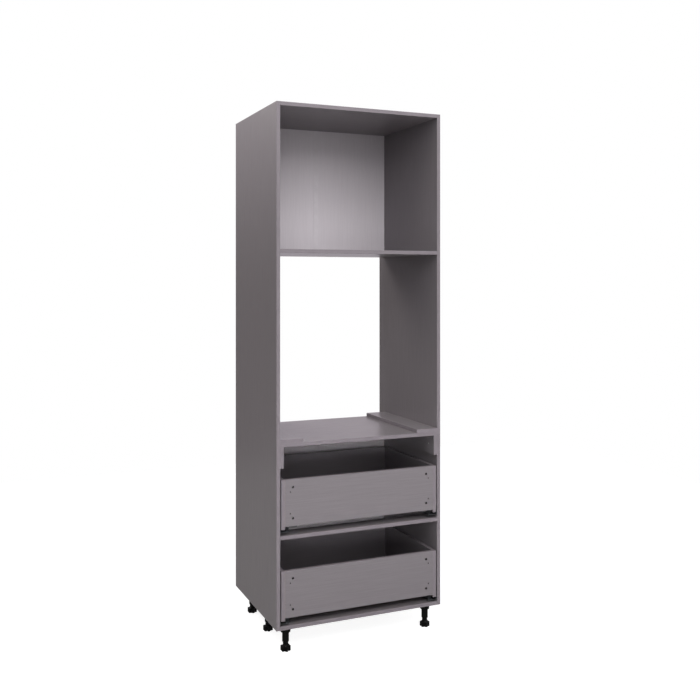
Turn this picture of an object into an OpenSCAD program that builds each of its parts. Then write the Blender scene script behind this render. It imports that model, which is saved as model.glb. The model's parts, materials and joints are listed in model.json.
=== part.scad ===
// Tall housing unit for a built-in oven. A board carcass stands on six levelling
// legs. It holds an upper compartment, an open niche for the oven and two drawer
// boxes on concealed full-extension runners.
// Millimetres. The origin is on the floor under the middle of the carcass:
// +X is right as seen from the front, +Y goes towards the wall, +Z is up.

/* [Carcass] */
// Width over the side panels
carcass_w = 762; // [600:1:900]
// Depth of the side panels
carcass_d = 603.25; // [590:0.25:650]
// Thickness of every carcass board
board_t = 15.9; // [15:0.1:18]
// Radius that eases the banded front edges
edge_r = 0.8; // [0.4:0.1:1.5]
// Clear height of the lower drawer bay
lower_bay_h = 355; // [300:1:450]
// Clear height of the upper drawer bay
upper_bay_h = 364; // [340:1:450]
// Clear height of the oven niche, from deck to shelf
niche_h = 783.4; // [590:0.1:900]
// Clear height of the upper compartment
top_bay_h = 589.8; // [300:0.1:700]
// Depth of the niche shelf and the oven deck, from the carcass front
shelf_d = 540; // [525:0.5:542]
// Depth of the cross rail between the drawers
cross_rail_d = 82; // [75:1:120]

/* [Back panels] */
// Distance from the carcass front to the back panels, and depth of top and bottom
back_y = 547.25; // [545:0.25:570]
// Thickness of the back panels
back_t = 8; // [6:0.5:10]
// Depth of the grooves in the sides that hold the back panels
groove_depth = 6; // [4:0.5:8]
// Width of the strip that joins the two halves of a back
joint_w = 20; // [16:0.5:30]
// Thickness of the joining strip's flanges and web
joint_t = 1.2; // [1:0.1:2]

/* [Oven deck] */
// Width of the packers that the oven stands on
packer_w = 100; // [60:1:150]
// Height of the battens under the deck
batten_h = 85.8; // [60:0.1:120]

/* [Dowels and screws] */
// Diameter of the dowels
dowel_d = 8; // [6:1:8]
// Length of the dowels
dowel_l = 32; // [24:1:34]
// Length of a dowel that is in a board's face, not in its end
dowel_in_face = 12; // [8:1:13]
// Distance of the dowels from a shelf's front and rear edges
dowel_inset = 50; // [40:1:70]
// Distance of the cross rail's dowels from the front
cross_dowel_inset = 25; // [15:1:32]
// Distance of a drawer's corner dowels from the edges of its front and back boards
corner_dowel_inset = 24; // [18:1:40]
// Distance of the outer dowels of a drawer bottom from its front and rear edges
bottom_dowel_inset = 60; // [30:1:120]
// Diameter of the screws that hold battens and packers
screw_d = 4; // [3:0.5:5]
// Length of a screw in the second board
screw_bite = 12; // [8:1:13]

/* [Cam fittings] */
// Diameter of the cam locks
cam_d = 15; // [13:1:15]
// Distance from a shelf's end to the axis of its cam locks
cam_reach = 24; // [20:1:34]
// Distance of the cam fittings from a shelf's front and rear edges
cam_inset = 110; // [95:1:140]
// Distance of the cross rail's cam fittings from the front
cross_cam_inset = 57; // [48:1:62]
// Diameter of a cam bolt's thread
bolt_thread_d = 5; // [4:0.5:6]
// Length of a cam bolt's thread
bolt_thread_l = 11; // [8:0.5:13]
// Diameter of a cam bolt's shank
bolt_shank_d = 6; // [5:0.5:6.5]
// Diameter of a cam bolt's head
bolt_head_d = 7; // [6.5:0.5:7.5]

/* [Drawer boxes] */
// Gap between a drawer box and the carcass side
drawer_gap = 5; // [4:0.5:8]
// Length of the drawer boxes from front to back
drawer_d = 508; // [470:1:520]
// Height of the drawer sides
drawer_side_h = 205.2; // [120:0.1:240]
// How far the drawer sides hang below the drawer bottom
drawer_hang = 11.6; // [11:0.1:14]
// Clearance under the sides of the lower drawer
lower_lift = 20.5; // [16:0.5:40]
// Clearance under the sides of the upper drawer
upper_lift = 25.2; // [16:0.1:40]

/* [Holes for the drawer fronts] */
// Diameter of the fixing holes
fixing_d = 10; // [8:0.5:12]
// Distance of the fixing holes from the outside of the drawer box
fixing_inset = 50; // [46:1:80]
// Height between the upper and lower fixing holes
fixing_span = 128; // [96:1:160]
// Diameter of the pilot holes
pilot_d = 5; // [3:0.5:6]
// Distance of the pilot holes from the outside of the drawer box
pilot_inset = 39; // [24:1:40]
// Height between the upper and lower pilot holes
pilot_span = 90; // [60:1:110]

/* [Runners] */
// Length of the cabinet rails
runner_l = 500; // [450:1:510]
// Distance from the carcass front to the rails
runner_inset = 3; // [2:0.5:10]
// Thickness of the runner steel
steel_t = 1.5; // [1:0.1:2]
// Running clearance between the runner members
run_gap = 0.3; // [0.2:0.05:0.4]
// Width of the middle member
middle_w = 10; // [8:0.5:12]
// Height of the middle member
middle_h = 20; // [18:0.5:21]
// Distance from the drawer side's inner face to the middle member
middle_inset = 7.5; // [6:0.5:12]
// Distance from the ends of the rail to the middle member
middle_setback = 10; // [5:1:40]
// Height of the rail's wall above the drawer's lower edge
rail_wall_top = 34; // [28:1:40]
// Height of the rail's lips above its floor
rail_lip_h = 7; // [5:0.5:9]
// Width of the rail's floor beyond its lips
rail_ledge = 3; // [1:0.5:6]
// Height of the drawer member
member_h = 16; // [12:0.5:17]
// Distance from the rail's lips to the drawer member
member_lip_gap = 2; // [1:0.5:3]
// Distance from the drawer's front board to the drawer member
member_setback = 4; // [2:0.5:10]
// Height of the rear pin above the drawer back's lower edge
hook_rise = 8.5; // [6:0.5:12]
// Diameter of the rear pin
hook_pin_d = 6; // [5:0.5:7]
// Length of the rear pin in the drawer back
hook_pin_l = 9; // [6:0.5:13]
// Thickness of the rear hook plate
hook_t = 2; // [1.5:0.5:3]
// Width of the rear hook plate
hook_w = 10; // [8:0.5:14]

/* [Runner clips and screws] */
// Width of a locking clip
clip_w = 38; // [25:1:50]
// Length of a locking clip
clip_l = 48; // [35:1:70]
// Height of a locking clip
clip_h = 10; // [8:0.5:14]
// Length of the clip's tooth
tooth_l = 10; // [6:0.5:15]
// Height of the clip's tooth
tooth_h = 5; // [3:0.5:6]
// Distance from the clip's underside to its tooth
tooth_rise = 1; // [0.5:0.5:2]
// Diameter of a runner screw
runner_screw_d = 5; // [4:0.5:6]
// Length of a runner screw in the side panel
runner_screw_l = 12; // [8:1:13]
// Diameter of a runner screw's head
runner_screw_head_d = 9; // [7:0.5:11]
// Height of a runner screw's head
runner_screw_head_h = 1.4; // [1:0.1:1.8]
// Distance of the outer runner screws from the ends of the rail
runner_screw_inset = 40; // [20:1:90]

/* [Leg sockets] */
// Height of the carcass above the floor
leg_h = 101.6; // [95:0.1:120]
// Distance of the leg axes from the outside of the side panels
leg_inset = 54.5; // [50:0.5:80]
// Distance of the front legs from the carcass front
leg_front = 45.3; // [40:0.1:60]
// Distance of the rear legs from the carcass front
leg_rear = 517; // [490:0.5:517]
// Width of the socket's square flange
flange_w = 60; // [54:0.5:60]
// Thickness of the socket's flange
flange_t = 4; // [3:0.5:6]
// Radius of the flange's corners
flange_r = 8; // [4:0.5:12]
// Diameter of the socket's collar
collar_d = 41; // [38:0.5:46]
// Height of the socket, flange and collar
socket_h = 24; // [18:0.5:30]
// Thickness of the socket over the end of the tube
socket_roof = 2; // [1.5:0.5:3]
// Diameter of the pegs that press into the bottom panel
peg_d = 10; // [8:0.5:11]
// Length of the pegs
peg_h = 11; // [8:0.5:13]
// Distance of the peg axes from the flange's edges
peg_inset = 12; // [8:0.5:16]

/* [Leg tubes and feet] */
// Diameter of the leg tubes
tube_d = 28.5; // [27.5:0.5:32]
// Thickness of the closed end of the tube
tube_roof = 3; // [2:0.5:6]
// Chamfer round the tube's lower end
tube_chamfer = 1.5; // [0.5:0.5:1.5]
// Diameter of the adjusting thread
thread_d = 23.5; // [20:0.5:23.5]
// Height of thread that shows between foot and tube
thread_show = 17; // [14:0.5:25]
// Pitch of the adjusting thread
thread_pitch = 4; // [3:0.5:4]
// Depth of the adjusting thread
thread_depth = 1; // [0.5:0.1:1.2]
// Number of turns of the adjusting thread
thread_turns = 13; // [9:1:14]
// Diameter of the foot over its lobes
foot_d = 43.5; // [40:0.5:55]
// Height of the lobed foot
foot_h = 20.4; // [14:0.1:24]
// Number of lobes round the foot
foot_lobes = 6; // [4:1:8]
// Radius of a lobe
lobe_r = 7; // [5:0.5:8]
// Chamfer round the lobes
lobe_chamfer = 1.5; // [0.5:0.5:3]
// Height of the cone between foot and thread
hub_h = 4; // [2:0.5:6]

/* [Hidden] */

// Colours
board_grey = "#7f797f";
back_grey = "#c8c2c8";
drawer_grey = "#837d83";
plastic_black = "#151515";
zinc_grey = "#a9abae";
clip_grey = "#6d7074";
dowel_tan = "#c9a66b";

left = -1;
right = 1;
bore_fn = 32;
slip = 0.05;                                   // radial clearance of pins in their bores
past = 1;                                      // how far a cut runs past the face that it opens

// Carcass levels, all measured from the floor
front_y = -carcass_d / 2;
inner_x = carcass_w / 2 - board_t;             // inner face of the right side panel
inner_w = 2 * inner_x;
base_z = leg_h;
cross_z = base_z + board_t + lower_bay_h;      // underside of the cross rail
deck_z = cross_z + board_t + upper_bay_h;      // underside of the deck
niche_z = deck_z + board_t + niche_h;          // underside of the niche shelf
top_z = niche_z + board_t + top_bay_h;         // underside of the top panel
carcass_h = top_z + board_t - base_z;
back_front_y = front_y + back_y;

// Fittings between shelves and sides, from the bottom panel up
shelf_levels = [base_z, cross_z, deck_z, niche_z, top_z];
cams_on_top = [false, false, false, true, true];
shelf_rear = front_y + shelf_d;
shelf_dowel_ys = [front_y + dowel_inset, shelf_rear - dowel_inset];
shelf_cam_ys = [front_y + cam_inset, shelf_rear - cam_inset];
cross_dowel_ys = [front_y + cross_dowel_inset];
cross_cam_ys = [front_y + cross_cam_inset];
dowel_ys = [shelf_dowel_ys, cross_dowel_ys, shelf_dowel_ys, shelf_dowel_ys, shelf_dowel_ys];
cam_ys = [shelf_cam_ys, cross_cam_ys, shelf_cam_ys, shelf_cam_ys, shelf_cam_ys];
dowel_in_end = dowel_l - dowel_in_face;        // length of a dowel in a board's end
cam_cover = 1;                                 // metal of a lock above its bolt's head
cam_h = (board_t + bolt_head_d) / 2 + cam_cover;
cam_floor = 0.1;                               // gap under a lock in its pocket
bolt_bore_d = bolt_head_d + 1;
lap = 1;                                       // how far lengths of one piece run into each other
batten_screw_ys = [front_y + dowel_inset, front_y + shelf_d / 2, shelf_rear - dowel_inset];
batten_screw_z = deck_z - batten_h / 2;
packer_screw_x = inner_x - packer_w / 2;
screw_head_d = 2 * screw_d;

// Drawer boxes
box_x = inner_x - drawer_gap;                  // outside of a drawer side
box_inner_x = box_x - board_t;                 // inside of a drawer side
box_front_y = front_y + board_t;               // back of the front board
box_back_y = front_y + drawer_d;               // rear face of the back board
upper_box_z = cross_z + board_t + upper_lift;
lower_box_z = base_z + board_t + lower_lift;
end_board_h = drawer_side_h - drawer_hang;
corner_dowel_zs = [for (k = [-1, 0, 1])
  drawer_hang + end_board_h / 2 + k * (end_board_h / 2 - corner_dowel_inset)];
bottom_dowel_ys = [box_front_y + bottom_dowel_inset, (box_front_y + box_back_y - board_t) / 2,
  box_back_y - board_t - bottom_dowel_inset];

// Runner section, measured inwards from the carcass side and up from the drawer side's lower edge
middle_clear = drawer_gap + board_t + middle_inset;
member_top = drawer_hang;
middle_top = member_top - steel_t - run_gap;
middle_bottom = middle_top - middle_h;
rail_floor_top = middle_bottom - run_gap;
rail_floor_bottom = rail_floor_top - steel_t;
rail_lip_in = middle_clear - run_gap - steel_t;
rail_lip_out = middle_clear + middle_w + run_gap + steel_t;
rail_w = rail_lip_out + rail_ledge;
member_in = rail_lip_in - member_lip_gap - steel_t;
member_out = rail_lip_out + member_lip_gap + steel_t;
clip_in = member_out + slip;

// Runner positions
rail_y = front_y + runner_inset;
rail_end_y = rail_y + runner_l;
rail_screw_z = rail_wall_top / 2;
rail_screw_ys = [rail_y + runner_screw_inset, rail_y + runner_l / 2, rail_end_y - runner_screw_inset];
member_y = box_front_y + member_setback;
hook_x = inner_x - (member_in + member_out) / 2;
hook_z = drawer_hang + hook_rise;

// Legs
leg_x = carcass_w / 2 - leg_inset;
leg_rows = [front_y + leg_front, front_y + (leg_front + leg_rear) / 2, front_y + leg_rear];
peg_offset = flange_w / 2 - peg_inset;
tube_top = base_z - socket_roof;
tube_bottom = foot_h + thread_show;

// ---------- helpers ----------

// Rectangle w by t whose two corners at x = 0 are rounded by r
function eased(w, t, r) = concat(
  [for (a = [180:22.5:270]) [r + r * cos(a), r + r * sin(a)]],
  [[w, 0], [w, t]],
  [for (a = [90:22.5:180]) [r + r * cos(a), t - r + r * sin(a)]]
);

// Draws its children as made for the right side, or mirrored for the left
module on_side(side) {
  if (side < 0) mirror([1, 0, 0]) children();
  else children();
}

// Cylinder along X from x0 to x1
module rod_x(x0, x1, y, z, d) {
  translate([x0, y, z]) rotate([0, 90, 0]) cylinder(d = d, h = x1 - x0, $fn = bore_fn);
}

// Cylinder along Y from y0 to y1
module rod_y(x, y0, y1, z, d) {
  translate([x, y1, z]) rotate([90, 0, 0]) cylinder(d = d, h = y1 - y0, $fn = bore_fn);
}

// Cylinder along Z from z0 to z1
module rod_z(x, y, z0, z1, d) {
  translate([x, y, z0]) cylinder(d = d, h = z1 - z0, $fn = bore_fn);
}

// Block between two corners
module block(low, high) {
  translate(low) cube([high[0] - low[0], high[1] - low[1], high[2] - low[2]]);
}

// Board lying flat, eased along its front edge
module lying_board(width, depth, z) {
  translate([-width / 2, front_y, z]) rotate([90, 0, 90])
    linear_extrude(height = width) polygon(eased(depth, board_t, edge_r));
}

// Countersunk screw along +X: its head is flush at x0
module screw_x(x0, x1, y, z, grow) {
  rod_x(x0, x1, y, z, screw_d + grow);
  translate([x0, y, z]) rotate([0, 90, 0])
    cylinder(d1 = screw_head_d + grow, d2 = screw_d + grow, h = screw_d / 2, $fn = bore_fn);
}

// Countersunk screw along +Z: its head is flush at z0
module screw_z(x, y, z0, z1, grow) {
  rod_z(x, y, z0, z1, screw_d + grow);
  translate([x, y, z0])
    cylinder(d1 = screw_head_d + grow, d2 = screw_d + grow, h = screw_d / 2, $fn = bore_fn);
}

// ---------- carcass ----------

// Groove for a back panel between two heights
module back_groove(z0, z1) {
  block([inner_x - past, back_front_y, z0], [inner_x + groove_depth, back_front_y + back_t, z1]);
}

module side_panel(side) {
  color(board_grey) on_side(side) difference() {
    translate([carcass_w / 2, front_y, base_z]) rotate([0, 0, 90])
      linear_extrude(height = carcass_h) polygon(eased(carcass_d, board_t, edge_r));
    for (level = [0:len(shelf_levels) - 1]) {
      mid_z = shelf_levels[level] + board_t / 2;
      for (y = dowel_ys[level])
        rod_x(inner_x - past, inner_x + dowel_in_face + slip, y, mid_z, dowel_d + 2 * slip);
      for (y = cam_ys[level])
        rod_x(inner_x - past, inner_x + bolt_thread_l + slip, y, mid_z, bolt_thread_d + 2 * slip);
    }
    back_groove(base_z - past, deck_z);
    back_groove(niche_z, top_z + board_t + past);
    for (y = batten_screw_ys)
      rod_x(inner_x - past, inner_x + screw_bite + slip, y, batten_screw_z, screw_d + 2 * slip);
    for (z = [upper_box_z, lower_box_z])
      for (y = rail_screw_ys)
        rod_x(inner_x - past, inner_x + runner_screw_l + slip, y, z + rail_screw_z,
          runner_screw_d + 2 * slip);
  }
}

// Bores in both ends of a shelf, with pockets for the cam locks
module shelf_bores(level) {
  z = shelf_levels[level];
  lock_x = inner_x - cam_reach;
  pocket_d = cam_d + 2 * slip;
  for (side = [left, right]) on_side(side) {
    for (y = dowel_ys[level])
      rod_x(inner_x - dowel_in_end - slip, inner_x + past, y, z + board_t / 2, dowel_d + 2 * slip);
    for (y = cam_ys[level]) {
      rod_x(lock_x, inner_x + past, y, z + board_t / 2, bolt_bore_d);
      if (cams_on_top[level]) rod_z(lock_x, y, z + board_t - cam_h - cam_floor, z + board_t + past, pocket_d);
      else rod_z(lock_x, y, z - past, z + cam_h + cam_floor, pocket_d);
    }
  }
}

module shelf(level, depth) {
  color(board_grey) difference() {
    lying_board(inner_w, depth, shelf_levels[level]);
    shelf_bores(level);
    children();
  }
}

module bottom_panel() {
  shelf(0, back_y)
    for (side = [left, right])
      for (y = leg_rows) socket_pegs(side * leg_x, y, slip);
}

module cross_rail() {
  shelf(1, cross_rail_d);
}

module oven_deck() {
  shelf(2, shelf_d)
    for (side = [left, right]) on_side(side)
      for (y = batten_screw_ys) screw_z(packer_screw_x, y, deck_z, deck_z + board_t + past, 2 * slip);
}

module niche_shelf() {
  shelf(3, shelf_d);
}

module top_panel() {
  shelf(4, back_y);
}

// Half of a back panel, from the joining strip's web into the groove of a side
module back_half(side, z0, z1) {
  color(back_grey) on_side(side)
    block([joint_t / 2 + slip, back_front_y, z0],
      [inner_x + groove_depth - slip, back_front_y + back_t, z1]);
}

// Strip of H section that holds the two halves of a back together
module joining_strip(z0, z1) {
  back_rear_y = back_front_y + back_t;
  color(back_grey) {
    block([-joint_w / 2, back_front_y - joint_t, z0], [joint_w / 2, back_front_y, z1]);
    block([-joint_t / 2, back_front_y - joint_t, z0], [joint_t / 2, back_rear_y + joint_t, z1]);
    block([-joint_w / 2, back_rear_y, z0], [joint_w / 2, back_rear_y + joint_t, z1]);
  }
}

module oven_packer(side) {
  color(board_grey) on_side(side) difference() {
    translate([inner_x - packer_w, front_y, deck_z + board_t]) rotate([90, 0, 90])
      linear_extrude(height = packer_w) polygon(eased(shelf_d, board_t, edge_r));
    for (y = batten_screw_ys)
      rod_z(packer_screw_x, y, deck_z + board_t - past, deck_z + board_t + screw_bite + slip,
        screw_d + 2 * slip);
  }
}

module deck_batten(side) {
  color(board_grey) on_side(side) difference() {
    translate([inner_x, front_y, deck_z - batten_h]) rotate([0, 0, 90])
      linear_extrude(height = batten_h) polygon(eased(shelf_d, board_t, edge_r));
    for (y = batten_screw_ys) screw_x(inner_x - board_t, inner_x + past, y, batten_screw_z, 2 * slip);
  }
}

module carcass_dowels() {
  color(dowel_tan)
    for (side = [left, right]) on_side(side)
      for (level = [0:len(shelf_levels) - 1])
        for (y = dowel_ys[level])
          rod_x(inner_x - dowel_in_end, inner_x + dowel_in_face, y, shelf_levels[level] + board_t / 2,
            dowel_d);
}

// Cam lock with its cross slot at z = 0 and a mouth for the bolt towards +X
module cam_lock() {
  slot_w = 1.2;
  slot_l = 7;
  slot_depth = 1.5;
  difference() {
    rod_z(0, 0, 0, cam_h, cam_d);
    rod_x(-bolt_bore_d / 2, cam_d, 0, board_t / 2, bolt_bore_d);
    block([-slot_l / 2, -slot_w / 2, -past], [slot_l / 2, slot_w / 2, slot_depth]);
    block([-slot_w / 2, -slot_l / 2, -past], [slot_w / 2, slot_l / 2, slot_depth]);
  }
}

// Bolt that screws into the side panel, with its head in a cam lock
module cam_bolt(y, z) {
  lock_x = inner_x - cam_reach;
  rod_x(inner_x - lap, inner_x + bolt_thread_l, y, z, bolt_thread_d);
  rod_x(lock_x - lap, inner_x, y, z, bolt_shank_d);
  rod_x(lock_x - bolt_head_d / 2, lock_x, y, z, bolt_head_d);
}

module cam_fittings() {
  color(zinc_grey)
    for (side = [left, right]) on_side(side)
      for (level = [0:len(shelf_levels) - 1]) {
        on_top = cams_on_top[level];
        z = shelf_levels[level];
        for (y = cam_ys[level]) {
          translate([inner_x - cam_reach, y, z + (on_top ? board_t : 0)])
            mirror([0, 0, on_top ? 1 : 0]) cam_lock();
          cam_bolt(y, z + board_t / 2);
        }
      }
}

// Screw with a flat head that holds a rail to the side panel
module runner_screw(y, z) {
  head_x = inner_x - steel_t;
  rod_x(head_x - runner_screw_head_h / 2, inner_x + runner_screw_l, y, z, runner_screw_d);
  rod_x(head_x - runner_screw_head_h, head_x, y, z, runner_screw_head_d);
}

module carcass_screws() {
  color(zinc_grey)
    for (side = [left, right]) on_side(side) {
      for (y = batten_screw_ys) {
        screw_x(inner_x - board_t, inner_x + screw_bite, y, batten_screw_z, 0);
        screw_z(packer_screw_x, y, deck_z, deck_z + board_t + screw_bite, 0);
      }
      for (z = [upper_box_z, lower_box_z])
        for (y = rail_screw_ys) runner_screw(y, z + rail_screw_z);
    }
}

// ---------- legs ----------

// Pegs that press into the bottom panel; grow widens the holes that they fit
module socket_pegs(x, y, grow) {
  for (dx = [-peg_offset, peg_offset])
    for (dy = [-peg_offset, peg_offset])
      rod_z(x + dx, y + dy, base_z - lap, base_z + peg_h + grow, peg_d + 2 * grow);
}

module leg_socket(x, y) {
  half = flange_w / 2;
  difference() {
    union() {
      block([x - half, y - half + flange_r, base_z - flange_t], [x + half, y + half - flange_r, base_z]);
      block([x - half + flange_r, y - half, base_z - flange_t], [x + half - flange_r, y + half, base_z]);
      for (dx = [-1, 1])
        for (dy = [-1, 1])
          rod_z(x + dx * (half - flange_r), y + dy * (half - flange_r), base_z - flange_t, base_z,
            2 * flange_r);
      rod_z(x, y, base_z - socket_h, base_z, collar_d);
      socket_pegs(x, y, 0);
    }
    rod_z(x, y, base_z - socket_h - past, tube_top + slip, tube_d + 2 * slip);
  }
}

module leg_sockets(row) {
  color(plastic_black)
    for (side = [left, right]) leg_socket(side * leg_x, leg_rows[row]);
}

module leg_tube(x, y) {
  tube_r = tube_d / 2;
  difference() {
    union() {
      rod_z(x, y, tube_bottom + tube_chamfer, tube_top, tube_d);
      translate([x, y, tube_bottom])
        cylinder(r1 = tube_r - tube_chamfer, r2 = tube_r, h = tube_chamfer, $fn = bore_fn);
    }
    rod_z(x, y, tube_bottom - past, tube_top - tube_roof, thread_d + 2 * slip);
  }
}

module leg_tubes(row) {
  color(plastic_black)
    for (side = [left, right]) leg_tube(side * leg_x, leg_rows[row]);
}

// Half section of the adjusting thread, drawn as rings: [radius, height] points
function thread_section(r, z0) = concat(
  [[0, z0], [r - thread_depth, z0]],
  [for (k = [0:thread_turns - 1]) each [
    [r - thread_depth, z0 + (k + 0.20) * thread_pitch],
    [r, z0 + (k + 0.40) * thread_pitch],
    [r, z0 + (k + 0.60) * thread_pitch],
    [r - thread_depth, z0 + (k + 0.80) * thread_pitch]
  ]],
  [[r - thread_depth, z0 + thread_turns * thread_pitch], [0, z0 + thread_turns * thread_pitch]]
);

module leg_foot(side, row) {
  lobe_at = foot_d / 2 - lobe_r;
  color(plastic_black) translate([side * leg_x, leg_rows[row], 0]) {
    for (k = [0:foot_lobes - 1]) rotate([0, 0, 270 + k * 360 / foot_lobes]) {
      rod_z(lobe_at, 0, lobe_chamfer, foot_h - lobe_chamfer, 2 * lobe_r);
      translate([lobe_at, 0, 0])
        cylinder(r1 = lobe_r - lobe_chamfer, r2 = lobe_r, h = lobe_chamfer, $fn = bore_fn);
      translate([lobe_at, 0, foot_h - lobe_chamfer])
        cylinder(r1 = lobe_r, r2 = lobe_r - lobe_chamfer, h = lobe_chamfer, $fn = bore_fn);
    }
    rod_z(0, 0, 0, foot_h, 2 * lobe_at);
    translate([0, 0, foot_h])
      cylinder(r1 = lobe_at, r2 = thread_d / 2, h = hub_h, $fn = bore_fn);
    rotate_extrude($fn = bore_fn) polygon(thread_section(thread_d / 2, foot_h + hub_h - lap));
  }
}

// ---------- drawers ----------

// In these modules z is the height of the lower edges of the drawer sides

// Dowels of a drawer box; grow widens the bores that they fit
module box_dowels(z, grow) {
  for (side = [left, right]) on_side(side) {
    for (y = [front_y + board_t / 2, box_back_y - board_t / 2])
      for (dz = corner_dowel_zs)
        rod_x(box_inner_x - dowel_in_end - grow, box_inner_x + dowel_in_face + grow, y, z + dz,
          dowel_d + 2 * grow);
    for (y = bottom_dowel_ys)
      rod_x(box_inner_x - dowel_in_end - grow, box_inner_x + dowel_in_face + grow, y,
        z + drawer_hang + board_t / 2, dowel_d + 2 * grow);
  }
}

module drawer_dowels(z) {
  color(dowel_tan) box_dowels(z, 0);
}

module drawer_side(side, z) {
  color(drawer_grey) difference() {
    on_side(side) translate([box_inner_x, box_back_y, z]) rotate([90, 0, 0])
      linear_extrude(height = drawer_d) polygon([for (p = eased(drawer_side_h, board_t, edge_r))
        [p[1], drawer_side_h - p[0]]]);
    box_dowels(z, slip);
  }
}

// Board between the drawer sides, eased along its top, with its front face at y
module drawer_end_board(y, z) {
  translate([-box_inner_x, y, z + drawer_side_h]) rotate([90, 90, 90])
    linear_extrude(height = 2 * box_inner_x) polygon(eased(end_board_h, board_t, edge_r));
}

module drawer_front(z) {
  mid_z = z + drawer_hang + end_board_h / 2;
  color(drawer_grey) difference() {
    drawer_end_board(front_y, z);
    box_dowels(z, slip);
    for (side = [left, right])
      for (up = [-1, 1]) {
        rod_y(side * (box_x - fixing_inset), front_y - past, box_front_y + past,
          mid_z + up * fixing_span / 2, fixing_d);
        rod_y(side * (box_x - pilot_inset), front_y - past, box_front_y + past,
          mid_z + up * pilot_span / 2, pilot_d);
      }
  }
}

module drawer_back(z) {
  color(drawer_grey) difference() {
    drawer_end_board(box_back_y - board_t, z);
    box_dowels(z, slip);
    for (side = [left, right])
      rod_y(side * hook_x, box_back_y - hook_pin_l - slip, box_back_y + past, z + hook_z,
        hook_pin_d + 2 * slip);
  }
}

module drawer_bottom(z) {
  color(drawer_grey) difference() {
    block([-box_inner_x, box_front_y, z + drawer_hang],
      [box_inner_x, box_back_y - board_t, z + drawer_hang + board_t]);
    box_dowels(z, slip);
  }
}

// ---------- runners ----------

// Block in the runner's section: in0 and in1 are measured inwards from the right carcass side
module runner_block(in0, in1, y0, y1, z0, z1) {
  block([inner_x - in1, y0, z0], [inner_x - in0, y1, z1]);
}

module rail(side, z) {
  floor_low = z + rail_floor_bottom;
  lip_top = z + rail_floor_top + rail_lip_h;
  color(zinc_grey) on_side(side) difference() {
    union() {
      runner_block(0, steel_t, rail_y, rail_end_y, floor_low, z + rail_wall_top);
      runner_block(0, rail_w, rail_y, rail_end_y, floor_low, z + rail_floor_top);
      runner_block(rail_lip_in, rail_lip_in + steel_t, rail_y, rail_end_y, floor_low, lip_top);
      runner_block(rail_lip_out - steel_t, rail_lip_out, rail_y, rail_end_y, floor_low, lip_top);
    }
    for (y = rail_screw_ys)
      rod_x(inner_x - steel_t - past, inner_x + past, y, z + rail_screw_z, runner_screw_d + 2 * slip);
  }
}

module middle_member(side, z) {
  y0 = rail_y + middle_setback;
  y1 = rail_end_y - middle_setback;
  in1 = middle_clear + middle_w;
  color(zinc_grey) on_side(side) difference() {
    runner_block(middle_clear, in1, y0, y1, z + middle_bottom, z + middle_top);
    runner_block(middle_clear + steel_t, in1 - steel_t, y0 - past, y1 + past,
      z + middle_bottom + steel_t, z + middle_top - steel_t);
  }
}

module drawer_member(side, z) {
  top = z + member_top;
  bottom = top - member_h;
  color(zinc_grey) on_side(side) {
    difference() {
      union() {
        runner_block(member_in, member_out, member_y, box_back_y + hook_t, top - steel_t, top);
        runner_block(member_in, member_in + steel_t, member_y, box_back_y, bottom, top);
        runner_block(member_out - steel_t, member_out, member_y, box_back_y, bottom, top);
        block([hook_x - hook_w / 2, box_back_y, top - steel_t],
          [hook_x + hook_w / 2, box_back_y + hook_t, z + hook_z + hook_w / 2]);
      }
      clip_tooth(z, slip);
    }
    rod_y(hook_x, box_back_y - hook_pin_l, box_back_y + hook_t, z + hook_z, hook_pin_d);
  }
}

// Tooth of the locking clip; grow makes its slot in the drawer member
module clip_tooth(z, grow) {
  tooth_y = member_y + (clip_l - tooth_l) / 2;
  tooth_z = z + member_top - clip_h + tooth_rise;
  runner_block(member_out - steel_t - grow, clip_in + lap, tooth_y - grow, tooth_y + tooth_l + grow,
    tooth_z - grow, tooth_z + tooth_h + grow);
}

module drawer_clips(z) {
  top = z + member_top;
  color(clip_grey)
    for (side = [left, right]) on_side(side) {
      runner_block(clip_in, clip_in + clip_w, member_y, member_y + clip_l, top - clip_h, top);
      clip_tooth(z, 0);
    }
}

// ---------- the nodes ----------

side_panel(left);  // left_side_panel
side_panel(right);  // right_side_panel
top_panel();
bottom_panel();
niche_shelf();
oven_deck();
cross_rail();
back_half(left, niche_z, top_z + board_t);  // upper_back_left
back_half(right, niche_z, top_z + board_t);  // upper_back_right
joining_strip(niche_z, top_z);  // upper_back_joint
back_half(left, base_z, deck_z);  // lower_back_left
back_half(right, base_z, deck_z);  // lower_back_right
joining_strip(base_z + board_t, deck_z);  // lower_back_joint
oven_packer(left);  // left_oven_packer
oven_packer(right);  // right_oven_packer
deck_batten(left);  // left_deck_batten
deck_batten(right);  // right_deck_batten
carcass_dowels();
cam_fittings();
carcass_screws();
leg_sockets(0);  // leg_sockets_front
leg_sockets(1);  // leg_sockets_middle
leg_sockets(2);  // leg_sockets_rear
leg_tubes(0);  // leg_tubes_front
leg_tubes(1);  // leg_tubes_middle
leg_tubes(2);  // leg_tubes_rear
leg_foot(left, 0);  // leg_foot_front_left
leg_foot(right, 0);  // leg_foot_front_right
leg_foot(left, 1);  // leg_foot_middle_left
leg_foot(right, 1);  // leg_foot_middle_right
leg_foot(left, 2);  // leg_foot_rear_left
leg_foot(right, 2);  // leg_foot_rear_right
drawer_side(left, upper_box_z);  // upper_drawer_left_side
drawer_side(right, upper_box_z);  // upper_drawer_right_side
drawer_front(upper_box_z);  // upper_drawer_front
drawer_back(upper_box_z);  // upper_drawer_back
drawer_bottom(upper_box_z);  // upper_drawer_bottom
drawer_dowels(upper_box_z);  // upper_drawer_dowels
drawer_clips(upper_box_z);  // upper_drawer_clips
drawer_side(left, lower_box_z);  // lower_drawer_left_side
drawer_side(right, lower_box_z);  // lower_drawer_right_side
drawer_front(lower_box_z);  // lower_drawer_front
drawer_back(lower_box_z);  // lower_drawer_back
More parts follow.
